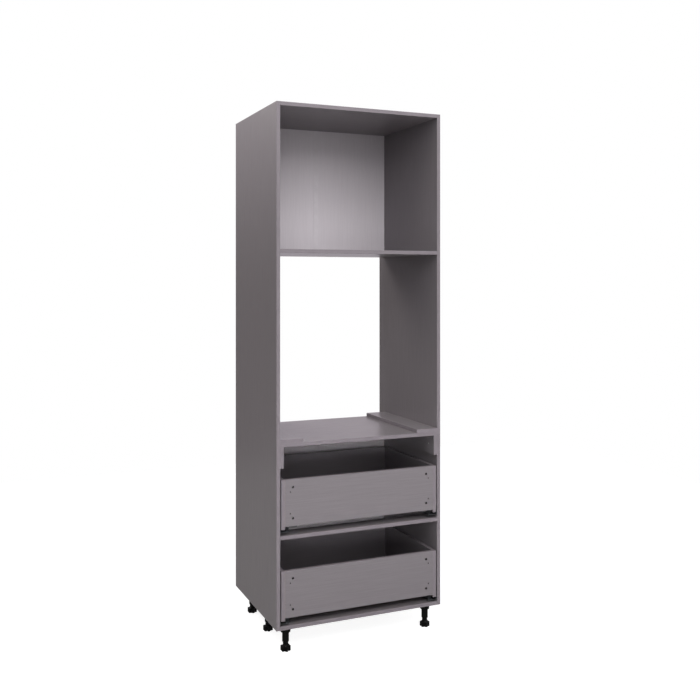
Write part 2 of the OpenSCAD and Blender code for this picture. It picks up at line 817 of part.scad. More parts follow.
drawer_bottom(lower_box_z);  // lower_drawer_bottom
drawer_dowels(lower_box_z);  // lower_drawer_dowels
drawer_clips(lower_box_z);  // lower_drawer_clips
rail(left, upper_box_z);  // upper_left_rail
rail(right, upper_box_z);  // upper_right_rail
rail(left, lower_box_z);  // lower_left_rail
rail(right, lower_box_z);  // lower_right_rail
middle_member(left, upper_box_z);  // upper_left_middle_member
middle_member(right, upper_box_z);  // upper_right_middle_member
middle_member(left, lower_box_z);  // lower_left_middle_member
middle_member(right, lower_box_z);  // lower_right_middle_member
drawer_member(left, upper_box_z);  // upper_left_drawer_member
drawer_member(right, upper_box_z);  // upper_right_drawer_member
drawer_member(left, lower_box_z);  // lower_left_drawer_member
drawer_member(right, lower_box_z);  // lower_right_drawer_member
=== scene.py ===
# %% [markdown]
# # A tall oven housing unit
# A kitchen carcass of grey faced board stands on six black levelling legs. It has an upper compartment, an open
# niche for an oven and two drawer boxes on concealed runners. The exact construction comes from the CAD frame.
# This lesson dresses it: boards with their edge bands, legs with real threads, rolled steel runners, and a finish
# for each. Lengths are in metres, +X is right, +Y goes towards the wall and +Z is up.

# %% Load the frame
import json
import math

import bmesh
import bpy
from mathutils import Matrix, Vector


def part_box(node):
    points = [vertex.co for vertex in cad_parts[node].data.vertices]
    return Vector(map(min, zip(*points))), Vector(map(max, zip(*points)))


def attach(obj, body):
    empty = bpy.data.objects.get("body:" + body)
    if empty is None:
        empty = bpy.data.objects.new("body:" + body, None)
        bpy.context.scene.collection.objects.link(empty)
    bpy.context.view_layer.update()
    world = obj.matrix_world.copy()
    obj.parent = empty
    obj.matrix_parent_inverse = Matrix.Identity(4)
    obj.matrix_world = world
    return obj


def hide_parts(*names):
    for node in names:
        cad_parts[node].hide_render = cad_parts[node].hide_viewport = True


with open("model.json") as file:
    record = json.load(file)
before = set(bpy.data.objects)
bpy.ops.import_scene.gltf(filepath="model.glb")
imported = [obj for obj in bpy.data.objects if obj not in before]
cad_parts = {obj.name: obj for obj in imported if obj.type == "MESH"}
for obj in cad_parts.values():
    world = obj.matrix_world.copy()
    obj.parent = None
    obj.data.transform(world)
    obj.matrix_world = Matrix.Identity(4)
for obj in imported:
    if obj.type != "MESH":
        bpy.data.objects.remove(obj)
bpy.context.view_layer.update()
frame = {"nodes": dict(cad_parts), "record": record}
MM = 0.001
bodies = frame["record"]["behaviour"]["bodies"]
body_of = {node: body for body, nodes in bodies.items() for node in nodes}
slot_of = {part["node"]: part["material_slot"] for part in frame["record"]["subparts"]}
print(f"{len(body_of)} nodes on {len(bodies)} bodies")

# %% [markdown]
# ## The camera
# The photograph was taken level, at standing eye height, from the left of the unit. A level camera keeps upright
# edges parallel, so the picture is shifted instead of tilted. The focal length is in pixels of a 700-pixel-wide
# picture, and the optical axis meets that picture a little right of and above its middle.

# %% Set the camera
PICTURE_PX = 700
FOCAL_PX = 897.3
AXIS_PX = (362.3, 279.45)
EYE = Vector((-1.5484, -3.7989, 1.5422))
EYE_TURN = math.radians(23.92)
SENSOR = 36.0

lens_data = bpy.data.cameras.new("camera")
lens_data.sensor_width = SENSOR
lens_data.lens = FOCAL_PX / PICTURE_PX * SENSOR
lens_data.shift_x = (PICTURE_PX / 2 - AXIS_PX[0]) / PICTURE_PX
lens_data.shift_y = (AXIS_PX[1] - PICTURE_PX / 2) / PICTURE_PX
camera = bpy.data.objects.new("camera", lens_data)
camera.location = EYE
camera.rotation_euler = (math.radians(90), 0, -EYE_TURN)
bpy.context.scene.collection.objects.link(camera)
bpy.context.scene.camera = camera
print(f"lens {lens_data.lens:.1f} mm, shift {lens_data.shift_x:.4f}, {lens_data.shift_y:.4f}")

# %% [markdown]
# ## Tools for modelling
# Blender's operators act on whatever is selected, so each one is preceded by a clear choice of object, and of the
# vertices, edges or faces to work on. These helpers make that choice, and the later cells use them by name. Edges
# could be picked by their numbers too, but a test on place or direction still holds when a size changes.

# %% Choose what an operator acts on
NEAR = 0.01 * MM


def only(piece):
    """Leaves edit mode and selects this object alone."""
    if bpy.context.mode != "OBJECT":
        bpy.ops.object.mode_set(mode="OBJECT")
    bpy.ops.object.select_all(action="DESELECT")
    if piece:
        piece.select_set(True)
        bpy.context.view_layer.objects.active = piece


def edit(piece, kind="VERT"):
    """Goes into edit mode with everything selected."""
    only(piece)
    bpy.ops.object.mode_set(mode="EDIT")
    bpy.ops.mesh.select_mode(type=kind)
    bpy.ops.mesh.select_all(action="SELECT")


def pick(piece, parts, test):
    """In edit mode, selects only the verts, edges or faces that pass the test."""
    bpy.ops.mesh.select_all(action="DESELECT")
    mesh = bmesh.from_edit_mesh(piece.data)
    for part in getattr(mesh, parts):
        if test(part):
            part.select_set(True)
    mesh.select_flush_mode()
    bmesh.update_edit_mesh(piece.data)


def along(edge):
    """0, 1 or 2 for an edge that runs along X, Y or Z."""
    way = edge.verts[1].co - edge.verts[0].co
    return max(range(3), key=lambda axis: abs(way[axis]))


def flat_on(part, axis, level):
    """Whether an edge or face lies wholly at a level of an axis."""
    return all(abs(vert.co[axis] - level) < NEAR for vert in part.verts)


# %% Start a piece
def named(name):
    """Names the object just added, with its place, turn and scale applied to its mesh."""
    bpy.ops.object.transform_apply(location=True, rotation=True, scale=True)
    piece = bpy.context.active_object
    piece.name = name
    piece.data.name = name
    return piece


def block(name, low, high):
    """A cube stretched between two corners, the start of anything cut from flat stock."""
    low, high = Vector(low), Vector(high)
    only(None)
    bpy.ops.mesh.primitive_cube_add(size=1, location=(low + high) / 2, scale=high - low)
    return named(name)


def rod(name, start, end, radius, sides=48):
    """A cylinder between two points, the start of anything drilled."""
    start, end = Vector(start), Vector(end)
    turn = (end - start).to_track_quat("Z", "Y").to_euler()
    only(None)
    bpy.ops.mesh.primitive_cylinder_add(vertices=sides, radius=radius, depth=(end - start).length,
                                        location=(start + end) / 2, rotation=turn)
    return named(name)


# %% Copy, join and cut
def copied(piece, name, turn=Matrix()):
    """A copy with its own mesh, turned or moved by a matrix."""
    only(piece)
    bpy.ops.object.duplicate(linked=False)
    copy = bpy.context.active_object
    copy.name = name
    copy.data.name = name
    copy.data.transform(turn)
    return copy


def joined(name, pieces):
    """Several shells as one object."""
    only(pieces[0])
    for piece in pieces:
        piece.select_set(True)
    bpy.ops.object.join()
    pieces[0].name = name
    return pieces[0]


def carve(piece, tool, how="DIFFERENCE"):
    """Cuts the tool's shape out of the piece, or adds it, and throws the tool away."""
    only(piece)
    cut = piece.modifiers.new("carve", "BOOLEAN")
    cut.operation = how
    cut.solver = "EXACT"
    cut.object = tool
    bpy.ops.object.modifier_apply(modifier=cut.name)
    bpy.data.objects.remove(tool)


# %% Finish a piece
def smooth(piece, degrees=35):
    """Smooth shading that keeps flat faces flat."""
    only(piece)
    bpy.ops.object.shade_smooth_by_angle(angle=math.radians(degrees))
    weigh = piece.modifiers.new("weigh", "WEIGHTED_NORMAL")
    weigh.keep_sharp = True
    bpy.ops.object.modifier_apply(modifier=weigh.name)


def stand_for(piece, *nodes):
    """The piece is shown in place of these nodes, and moves as they do."""
    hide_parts(*nodes)
    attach(piece, body_of[nodes[0]])


def dress(piece, material, *nodes):
    """Gives the piece its finish and its shading, and shows it in place of these nodes."""
    piece.data.materials.append(material)
    smooth(piece)
    stand_for(piece, *nodes)


# %% [markdown]
# ## Finishes
# Every finish is a node material on Object coordinates, so a pattern keeps its real size on every piece. The
# helpers give each material its shader, and noise in cells per metre, to vary colour, gloss and relief. Noise
# seldom leaves the middle of its range, so it is spread from 0.3 and 0.7 to the two ends of what it varies.

# %% Tones and shaders
def tone(red, green, blue):
    """A colour as a screen shows it, 0 to 255, turned into light."""
    return tuple(((c / 255 + 0.055) / 1.055) ** 2.4 if c > 10 else c / 255 / 12.92 for c in (red, green, blue)) + (1,)


def finish(name, color, roughness, metallic=0.0):
    """A new material: itself, its node tree and its shader."""
    material = bpy.data.materials.new(name)
    material.use_nodes = True
    tree = material.node_tree
    shader = tree.nodes["Principled BSDF"]
    shader.inputs["Base Color"].default_value = color
    shader.inputs["Roughness"].default_value = roughness
    shader.inputs["Metallic"].default_value = metallic
    return material, tree, shader


# %% Noise, colour and relief
NOISE_LOW, NOISE_HIGH = 0.3, 0.7


def noise(tree, per_metre, detail=2.0, stretch=(1, 1, 1)):
    """Noise with this many cells in a metre, drawn out along an axis by a stretch below 1."""
    place = tree.nodes.new("ShaderNodeTexCoord")
    scale = tree.nodes.new("ShaderNodeMapping")
    scale.inputs["Scale"].default_value = stretch
    cells = tree.nodes.new("ShaderNodeTexNoise")
    cells.inputs["Scale"].default_value = per_metre
    cells.inputs["Detail"].default_value = detail
    tree.links.new(place.outputs["Object"], scale.inputs["Vector"])
    tree.links.new(scale.outputs["Vector"], cells.inputs["Vector"])
    return cells.outputs["Fac"]


def ramp(tree, value, start, end, low, high):
    """Runs from low to high as the value goes from start to end."""
    reach = tree.nodes.new("ShaderNodeMapRange")
    for name, number in (("From Min", start), ("From Max", end), ("To Min", low), ("To Max", high)):
        reach.inputs[name].default_value = number
    tree.links.new(value, reach.inputs["Value"])
    return reach.outputs["Result"]


def spread(tree, value, low, high, target):
    """Feeds a socket with noise that is spread between low and high."""
    tree.links.new(ramp(tree, value, NOISE_LOW, NOISE_HIGH, low, high), target)


def blend(tree, value, dark, light, target, start=NOISE_LOW, end=NOISE_HIGH):
    """Runs a colour between two tones as a value goes from start to end."""
    tones = tree.nodes.new("ShaderNodeValToRGB")
    for stop, place, color in zip(tones.color_ramp.elements, (start, end), (dark, light)):
        stop.position, stop.color = place, color
    tree.links.new(value, tones.inputs["Fac"])
    tree.links.new(tones.outputs["Color"], target)


def relief(tree, shader, height, depth, strength=1.0):
    """Raises or sinks the surface by a height pattern, to a depth in metres."""
    bump = tree.nodes.new("ShaderNodeBump")
    bump.inputs["Strength"].default_value = strength
    bump.inputs["Distance"].default_value = depth
    tree.links.new(height, bump.inputs["Height"])
    tree.links.new(bump.outputs["Normal"], shader.inputs["Normal"])


# %% [markdown]
# ## Faced board
# The boards are chipboard with a melamine face: a printed paper in hard resin. It has one plain colour with a faint
# grain along the board, which also breaks up its gloss. Carcass and drawers share one grey, and the backs have a
# lighter one. A picture of the paper could be wrapped round each board, but noise that is drawn out along one axis
# needs no picture and no unwrapping. The grain follows a board's length, so each colour is made three times, for
# grain along X, Y and Z.

# %% The melamine faces
FACE_IOR = 1.33
FACE_SHEEN = (1, 0.9, 0.98, 1)
GRAIN_CELLS, GRAIN_STRETCH, GRAIN_DEPTH = 320, 0.025, 0.012 * MM


def melamine(name, dark, light, roughness):
    """Three materials of one colour, with their grain along X, Y and Z."""
    materials = []
    for axis in range(3):
        stretch = [1.0, 1.0, 1.0]
        stretch[axis] = GRAIN_STRETCH
        material, tree, shader = finish(f"{name}_{'xyz'[axis]}", light, roughness)
        shader.inputs["IOR"].default_value = FACE_IOR
        shader.inputs["Specular Tint"].default_value = FACE_SHEEN
        grain = noise(tree, GRAIN_CELLS, 3, stretch)
        blend(tree, grain, dark, light, shader.inputs["Base Color"])
        spread(tree, grain, roughness + 0.03, roughness - 0.03, shader.inputs["Roughness"])
        relief(tree, shader, grain, GRAIN_DEPTH, 0.5)
        materials.append(material)
    return materials


grey_face = melamine("grey_melamine", tone(120, 115, 119), tone(126, 121, 125), 0.34)
back_face = melamine("pale_melamine", tone(197, 191, 196), tone(202, 196, 201), 0.42)
print(len(grey_face) + len(back_face), "melamine faces")

# %% [markdown]
# ## Edge band
# The front edges carry a strip of coloured plastic, glued on hot and trimmed flush. It has no grain, so the face's
# finish would look wrong on it. Its own one has slow changes of tone and gloss and a very fine orange-peel.

# %% The edge band
def banding(name, dark, light):
    material, tree, shader = finish(name, light, 0.34)
    shader.inputs["IOR"].default_value = FACE_IOR
    blend(tree, noise(tree, 20), dark, light, shader.inputs["Base Color"])
    spread(tree, noise(tree, 60), 0.3, 0.38, shader.inputs["Roughness"])
    relief(tree, shader, noise(tree, 700, 2), 0.015 * MM, 0.4)
    return material


grey_band = banding("grey_edge_band", tone(124, 117, 123), tone(129, 122, 128))
print("edge band:", grey_band.name)

# %% [markdown]
# ## Raw chipboard
# Where a board isn't banded its core shows: flat chips of wood pressed with glue. Noise would give soft clouds, and
# chips have borders, so Voronoi cells make them, each with its own tone, and the distance to a cell's middle gives
# the relief. The inside of a bore is a near-black version of it: painted shade, for a bore that lies out of the light.

# %% The chipboard core
CHIPS_PER_METRE = 420


def chipboard(name, dark, light):
    material, tree, shader = finish(name, light, 0.85)
    place = tree.nodes.new("ShaderNodeTexCoord")
    chips = tree.nodes.new("ShaderNodeTexVoronoi")
    chips.inputs["Scale"].default_value = CHIPS_PER_METRE
    tree.links.new(place.outputs["Object"], chips.inputs["Vector"])
    split = tree.nodes.new("ShaderNodeSeparateColor")
    tree.links.new(chips.outputs["Color"], split.inputs["Color"])
    blend(tree, split.outputs["Red"], dark, light, shader.inputs["Base Color"], 0, 1)
    relief(tree, shader, chips.outputs["Distance"], 0.15 * MM)
    return material


core = chipboard("raw_chipboard", tone(139, 108, 73), tone(201, 172, 132))
# Inside a bore the chipboard is painted near black, as painted shade of the deep hole.
bore_shade_core = chipboard("bore_shade_chipboard", tone(20, 18, 16), tone(40, 35, 30))
print("chipboard:", core.name, "and", bore_shade_core.name)

# %% [markdown]
# ## Moulded plastics
# The legs are black plastic, the runner clips dark grey and the joining strips of the backs pale. All three show the
# faint orange-peel of a mould and slow changes of gloss, so one function makes them. The black one has a low
# refractive index, because its own texture swallows most of the gloss that smooth plastic would have.

# %% Moulded plastics
def moulded(name, dark, light, roughness, ior=1.45):
    material, tree, shader = finish(name, light, roughness)
    shader.inputs["IOR"].default_value = ior
    blend(tree, noise(tree, 30), dark, light, shader.inputs["Base Color"])
    spread(tree, noise(tree, 90), roughness - 0.06, roughness + 0.06, shader.inputs["Roughness"])
    relief(tree, shader, noise(tree, 900), 0.03 * MM, 0.5)
    return material


black_plastic = moulded("black_plastic", tone(4, 4, 4), tone(8, 8, 8), 0.5, 1.25)
grey_plastic = moulded("grey_plastic", tone(54, 55, 58), tone(62, 64, 67), 0.5)
pale_plastic = moulded("pale_plastic", tone(196, 190, 195), tone(202, 196, 201), 0.38)
print("three plastics")

# %% [markdown]
# ## Zinc plate
# Runners, screws and cam locks are zinc-plated steel: a metal with cloudy patches of tone, and drawn scratches along
# the strip it was rolled from. The scratches are noise drawn out along Y, the runners' length. Screws and locks are
# tumbled, so theirs has no direction.

# %% Zinc plate
def zinc(name, dark, light, stretch, roughness):
    material, tree, shader = finish(name, light, roughness, 1.0)
    blend(tree, noise(tree, 35, 4), dark, light, shader.inputs["Base Color"])
    spread(tree, noise(tree, 120, 3, stretch), roughness - 0.08, roughness + 0.1, shader.inputs["Roughness"])
    relief(tree, shader, noise(tree, 1400, 2, stretch), 0.01 * MM, 0.5)
    return material


runner_zinc = zinc("runner_zinc", tone(104, 107, 110), tone(126, 129, 132), (1, 0.03, 1), 0.45)
fitting_zinc = zinc("fitting_zinc", tone(158, 161, 166), tone(188, 190, 192), (1, 1, 1), 0.4)
print("two zinc finishes")

# %% [markdown]
# ## Beech
# The dowels are fluted beech, with a straight fine grain. They lie along X and are almost out of sight, so one noise
# drawn out along X gives both their colour and their relief.

# %% Beech
def beech():
    material, tree, shader = finish("beech", tone(204, 170, 122), 0.6)
    grain = noise(tree, 300, 3, (0.08, 1, 1))
    blend(tree, grain, tone(190, 152, 104), tone(214, 182, 136), shader.inputs["Base Color"])
    relief(tree, shader, grain, 0.05 * MM, 0.5)
    return material


dowel_beech = beech()
print("wood:", dowel_beech.name)

# %% [markdown]
# ## Finishes on the CAD nodes
# Every node gets the finish of its material slot. Most nodes are replaced further down by a more detailed piece. The
# dowels and cam fittings stay as they are, because their exact shape is already right.

# %% Finish the nodes
FINISH = {"carcass_board": grey_face[0], "drawer_board": grey_face[0], "back_board": back_face[2],
          "dowel_wood": dowel_beech, "leg_plastic": black_plastic, "clip_plastic": grey_plastic,
          "zinc_fitting": fitting_zinc, "runner_steel": runner_zinc}
for node, thing in frame["nodes"].items():
    thing.data.materials.clear()
    thing.data.materials.append(FINISH[slot_of[node]])
print(f"{len(frame['nodes'])} nodes finished")

# %% [markdown]
# ## Boards
# A furniture board starts as a cube of its size. A plain one would do from afar, but its edges are what tell a
# faced board from close by. Its banded edges get the small radius of the banding machine and all others a hair of
# an arris, because no real edge is perfectly sharp. Behind the band runs the glue line: three cuts close together,
# with the middle one pulled inwards, make a fine V groove. The fittings' bores are then cut with copies of the
# fittings themselves, so that a dowel always has its hole.

# %% Sizes of an edge
BAND = 1.0 * MM
BAND_ROUND = 0.8 * MM
GLUE_LINE = 0.25 * MM
GLUE_DEPTH = 0.12 * MM
ARRIS = 0.3 * MM
SIDES = {"left": (0, -1), "right": (0, 1), "front": (1, -1), "top": (2, 1)}
print("bands of", round(BAND / MM, 2), "mm")

# %% Round edges and drill
CAD_WELD = 0.01 * MM


def tool_from(node):
    """A merged copy of a CAD node, to drill other pieces with."""
    tool = copied(frame["nodes"][node], "tool")
    tool.parent = None
    edit(tool)
    bpy.ops.mesh.remove_doubles(threshold=CAD_WELD)
    only(tool)
    return tool


def round_edges(piece, test, width, segments=2):
    """Bevels the edges that pass the test."""
    edit(piece, "EDGE")
    pick(piece, "edges", test)
    bpy.ops.mesh.bevel(offset=width, segments=segments, affect="EDGES")
    only(piece)


def ease(piece, width, segments=2, degrees=60):
    """Bevels every edge sharper than an angle."""
    edit(piece, "EDGE")
    bpy.ops.mesh.select_all(action="DESELECT")
    bpy.ops.mesh.edges_select_sharp(sharpness=math.radians(degrees))
    bpy.ops.mesh.bevel(offset=width, segments=segments, affect="EDGES")
    only(piece)


# %% Glue lines and faces
def glue_line(piece, axis, way, level):
    """Cuts a V groove round the board, one band's thickness behind its banded face."""
    out = Vector((0, 0, 0))
    out[axis] = way
    for back in (BAND, BAND + GLUE_LINE, BAND + GLUE_LINE / 2):
        bpy.ops.mesh.select_all(action="SELECT")
        bpy.ops.mesh.bisect(plane_co=out * (level * way - back), plane_no=out)
    bpy.ops.transform.shrink_fatten(value=-GLUE_DEPTH, use_even_offset=True)


def paint(piece, thick, bands, low, high):
    """Gives each face its finish: 0 on the two faces, 1 on the bands, 2 on a cut edge, 3 inside a bore, in painted
    shade.
    """
    for face in piece.data.polygons:
        gaps = [min(face.center[axis] - low[axis], high[axis] - face.center[axis]) for axis in range(3)]
        on_face = gaps[thick] < 0.5 * ARRIS
        face.material_index = 0 if on_face else 2 if min(gaps) < ARRIS else 3
        for axis, way in bands:
            level = (high if way > 0 else low)[axis]
            if abs(face.center[axis] - level) < BAND + GLUE_LINE / 2:
                face.material_index = 1


# %% Make a board
def board(node, banded=("front",), face=grey_face, drilled_by=(), tools=()):
    """A faced board in the place of a node, with its bands, arrises, glue lines and bores."""
    low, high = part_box(node)
    thick, _, long = sorted(range(3), key=lambda axis: high[axis] - low[axis])
    bands = [SIDES[side] for side in banded]
    levels = [(axis, (high if way > 0 else low)[axis]) for axis, way in bands]
    piece = block(node + "_board", low, high)
    round_edges(piece, lambda edge: along(edge) != thick and any(flat_on(edge, *level) for level in levels),
                BAND_ROUND, 4)
    ease(piece, ARRIS)
    edit(piece, "EDGE")
    for axis, way in bands:
        glue_line(piece, axis, way, (high if way > 0 else low)[axis])
    only(piece)
    for tool in tools:
        carve(piece, tool)
    for fitting in drilled_by:
        carve(piece, tool_from(fitting))
    for material in (face[long], grey_band, core, bore_shade_core):
        piece.data.materials.append(material)
    paint(piece, thick, bands, low, high)
    smooth(piece)
    stand_for(piece, node)
    return piece


# %% [markdown]
# ## Carcass boards
# The sides, shelves and bottom hold each other with dowels, and with cam locks that pull on bolts. The backs slide in
# grooves of the sides, and the legs' sockets are pegged into the bottom. Dowels and screws cut their own bores.
# Where a bore is wider than what sits in it, as for a lock, a back or a peg, a simple cutter with a hair of room
# is made instead.

# %% Cutters for the bores and grooves
SLIP = 0.05 * MM
PAST = 1 * MM
CAM_R, CAM_DEPTH = 7.55 * MM, 12.55 * MM
CAM_REACH, CAM_INSET, RAIL_CAM_INSET = 24 * MM, 110 * MM, 57 * MM
FLANGE_W, PEG_INSET, PEG_H, PEG_R = 60 * MM, 12 * MM, 11 * MM, 5 * MM


def groove_for(half):
    """The groove that a back half slides in: the half itself, with a hair of room."""
    low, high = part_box(half)
    room = Vector((SLIP, SLIP, PAST))
    return block("tool", low - room, high + room)


def cam_pockets(node, from_top, ys):
    """The round pockets of the cam locks near both ends of a shelf."""
    low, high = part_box(node)
    level, way = (high.z, 1) if from_top else (low.z, -1)
    return joined("tool", [rod("tool", (x, y, level - way * CAM_DEPTH), (x, y, level + way * PAST), CAM_R)
                           for x in (low.x + CAM_REACH, high.x - CAM_REACH) for y in ys])


def peg_holes():
    """Four holes over each leg for the pegs of its socket."""
    holes = []
    for row in ("front", "middle", "rear"):
        low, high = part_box(f"leg_sockets_{row}")
        for x in (low.x, high.x - FLANGE_W):
            for dx in (PEG_INSET, FLANGE_W - PEG_INSET):
                for dy in (PEG_INSET, FLANGE_W - PEG_INSET):
                    foot = Vector((x + dx, low.y + dy, high.z - PEG_H))
                    holes.append(rod("tool", foot - Vector((0, 0, PAST)), foot + Vector((0, 0, PEG_H)), PEG_R))
    return joined("tool", holes)


# %% The carcass boards
shelf_low, shelf_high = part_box("niche_shelf")
shelf_cams = (shelf_low.y + CAM_INSET, shelf_high.y - CAM_INSET)
for side in ("left", "right"):
    board(f"{side}_side_panel", drilled_by=("carcass_dowels", "cam_fittings", "carcass_screws"),
          tools=[groove_for(f"{tier}_back_{side}") for tier in ("upper", "lower")])
for node, from_top, ys in (("top_panel", True, shelf_cams), ("niche_shelf", True, shelf_cams),
                           ("oven_deck", False, shelf_cams), ("bottom_panel", False, shelf_cams),
                           ("cross_rail", False, (shelf_low.y + RAIL_CAM_INSET,))):
    tools = [cam_pockets(node, from_top, ys)]
    if node == "bottom_panel":
        tools.append(peg_holes())
    fittings = ("carcass_dowels", "cam_fittings") + (("carcass_screws",) if node == "oven_deck" else ())
    shelf = board(node, drilled_by=fittings, tools=tools)
    print(node, len(shelf.data.polygons), "faces")

# %% [markdown]
# ## Packers, battens and backs
# Two strips on the deck lift the oven, two upright ones under it carry the deck, and each back is a pair of thin
# halves. They could be plain blocks, but they are boards of the same kind, so `board` makes them too. The packers
# have a band on the side that shows, and the backs have none.

# %% Packers, battens and back panels
for side, inner in (("left", "right"), ("right", "left")):
    board(f"{side}_oven_packer", ("front", inner), drilled_by=("carcass_screws",))
    board(f"{side}_deck_batten", drilled_by=("carcass_screws",))
    for tier in ("upper", "lower"):
        board(f"{tier}_back_{side}", banded=(), face=back_face)
print("two packers, two battens, four back halves")

# %% [markdown]
# ## Drawer boxes
# Each drawer is a box of the same board, dowelled at its corners, with the bottom inside it. It could be modelled as
# one hollow box, but then no joint or band would show at its corners, so it is built from its five boards. The front
# board carries eight holes: four to bolt the decorative front through, four pilot holes. The back board has a bore
# at each side, where the pin of the runner hooks in.

# %% Holes in the drawer boards
FIXING_R, FIXING_IN, FIXING_UP = 5 * MM, 50 * MM, 64 * MM
PILOT_R, PILOT_IN, PILOT_UP = 2.5 * MM, 39 * MM, 45 * MM
PIN_R, PIN_IN = 3.05 * MM, 9.05 * MM
HOOK_R, HOOK_T = 5 * MM, 2 * MM


def front_holes(tier):
    """The bolt holes and pilot holes through a drawer's front board."""
    low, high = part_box(f"{tier}_drawer_front")
    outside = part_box(f"{tier}_drawer_right_side")[1].x
    level = (low.z + high.z) / 2
    holes = []
    for radius, inset, up in ((FIXING_R, FIXING_IN, FIXING_UP), (PILOT_R, PILOT_IN, PILOT_UP)):
        for x in (inset - outside, outside - inset):
            for z in (level - up, level + up):
                holes.append(rod("tool", (x, low.y - PAST, z), (x, high.y + PAST, z), radius))
    return joined("tool", holes)


def pin_bores(tier):
    """The bores in the back board for the pins of both runners."""
    holes = []
    for side in ("left", "right"):
        low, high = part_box(f"{tier}_{side}_drawer_member")
        x, z, back = (low.x + high.x) / 2, high.z - HOOK_R, high.y - HOOK_T
        holes.append(rod("tool", (x, back - PIN_IN, z), (x, back + PAST, z), PIN_R))
    return joined("tool", holes)


# %% The drawer boards
for tier in ("upper", "lower"):
    dowels = (f"{tier}_drawer_dowels",)
    for side in ("left", "right"):
        board(f"{tier}_drawer_{side}_side", ("front", "top"), grey_face, dowels)
    board(f"{tier}_drawer_front", ("top",), grey_face, dowels, [front_holes(tier)])
    board(f"{tier}_drawer_back", ("top",), grey_face, dowels, [pin_bores(tier)])
    board(f"{tier}_drawer_bottom", (), grey_face, dowels)
    print(tier, "drawer box made")

# %% [markdown]
# ## Joining strips
# Each back comes in two halves, held together by a pale plastic strip of H section. Three thin blocks would do from
# afar, but the real strip is one extrusion. So it is drawn the way it is made: its outline as a closed chain of
# points, rounded at the corners, filled and pushed through its length.

# %% Draw an outline
WELD = 0.001 * MM


def wire(name, points):
    """A chain of edges through the points: a plane merged to one vertex, then extruded point by point."""
    points = [Vector(point) for point in points]
    only(None)
    bpy.ops.mesh.primitive_plane_add(size=MM, location=points[0])
    piece = named(name)
    edit(piece)
    bpy.ops.mesh.merge(type="CENTER")
    for start, end in zip(points, points[1:]):
        bpy.ops.mesh.extrude_vertices_move(TRANSFORM_OT_translate={"value": end - start})
    return piece


def outward(piece):
    """Merges doubles and points all faces outwards."""
    edit(piece)
    bpy.ops.mesh.remove_doubles(threshold=WELD)
    bpy.ops.mesh.normals_make_consistent(inside=False)
    only(piece)


# %% Extrude a profile
def profile(name, points, rounds, way):
    """A closed outline with rounded corners, extruded; rounds gives (radius, segments, test on a corner)."""
    piece = wire(name, list(points) + [points[0]])
    bpy.ops.mesh.select_all(action="SELECT")
    bpy.ops.mesh.remove_doubles(threshold=WELD)
    bpy.ops.mesh.edge_face_add()
    for radius, segments, test in rounds:
        pick(piece, "verts", lambda vert: test(vert.co))
        bpy.ops.mesh.bevel(offset=radius, segments=segments, affect="VERTICES")
    bpy.ops.mesh.select_all(action="SELECT")
    bpy.ops.mesh.extrude_region_move(TRANSFORM_OT_translate={"value": way})
    outward(piece)
    return piece


# %% The strips
STRIP_T, STRIP_EDGE = 1.2 * MM, 0.5 * MM
for tier in ("upper", "lower"):
    low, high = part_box(f"{tier}_back_joint")
    web = STRIP_T / 2
    corners = [(low.x, low.y), (high.x, low.y), (high.x, low.y + STRIP_T), (web, low.y + STRIP_T),
               (web, high.y - STRIP_T), (high.x, high.y - STRIP_T), (high.x, high.y), (low.x, high.y),
               (low.x, high.y - STRIP_T), (-web, high.y - STRIP_T), (-web, low.y + STRIP_T), (low.x, low.y + STRIP_T)]
    strip = profile(f"{tier}_back_strip", [(x, y, low.z) for x, y in corners],
                    [(STRIP_EDGE, 3, lambda spot: abs(spot.x) > 2 * web)], (0, 0, high.z - low.z))
    dress(strip, pale_plastic, f"{tier}_back_joint")
print("two joining strips")

# %% [markdown]
# ## Levelling legs
# Each leg is three mouldings: a socket pegged into the bottom panel, a tube that plugs into it, and a six-lobed foot
# on a coarse thread that screws into the tube. Round parts could be stacked from cylinders, but a spun half section
# also gives their chamfers and bores in one go, and leaves no seams inside.

# %% Turn a round part
def spun(name, points, steps):
    """A half section of (radius, height) points, turned about the Z axis."""
    piece = wire(name, [(radius, 0, height) for radius, height in points])
    bpy.ops.mesh.select_all(action="SELECT")
    bpy.ops.mesh.spin(steps=steps, angle=math.tau, center=(0, 0, 0), axis=(0, 0, 1))
    outward(piece)
    return piece


def millimetres(points):
    return [(x * MM, y * MM) for x, y in points]


def around(piece, count):
    """A piece and its copies, spaced evenly in a ring about the Z axis."""
    return [piece] + [copied(piece, "turned", Matrix.Rotation(k * math.tau / count, 4, "Z")) for k in range(1, count)]


# %% [markdown]
# ## Socket
# The socket is a square flange with rounded corners, a collar below it, and four webs that brace one against the
# other. Its pegs go into the bottom panel. Drawing all that out of one block would take many small steps, so simple
# shapes are united, and the bore is cut through them at the end.

# %% The socket
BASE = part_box("leg_sockets_front")[1].z - PEG_H
SOCKET_H, FLANGE_T, FLANGE_R = 24 * MM, 4 * MM, 8 * MM
COLLAR_R, BORE_R, BORE_TOP = 20.5 * MM, 14.3 * MM, 99.65 * MM
COLLAR_EDGE, COLLAR_BEND, FLANGE_EDGE, PEG_TIP = 1.2 * MM, 0.35 * MM, 0.6 * MM, 0.8 * MM
WEB_T, WEB_IN, WEB_LOW_OUT, WEB_TOP_OUT = 2 * MM, 19 * MM, 22 * MM, 28.4 * MM


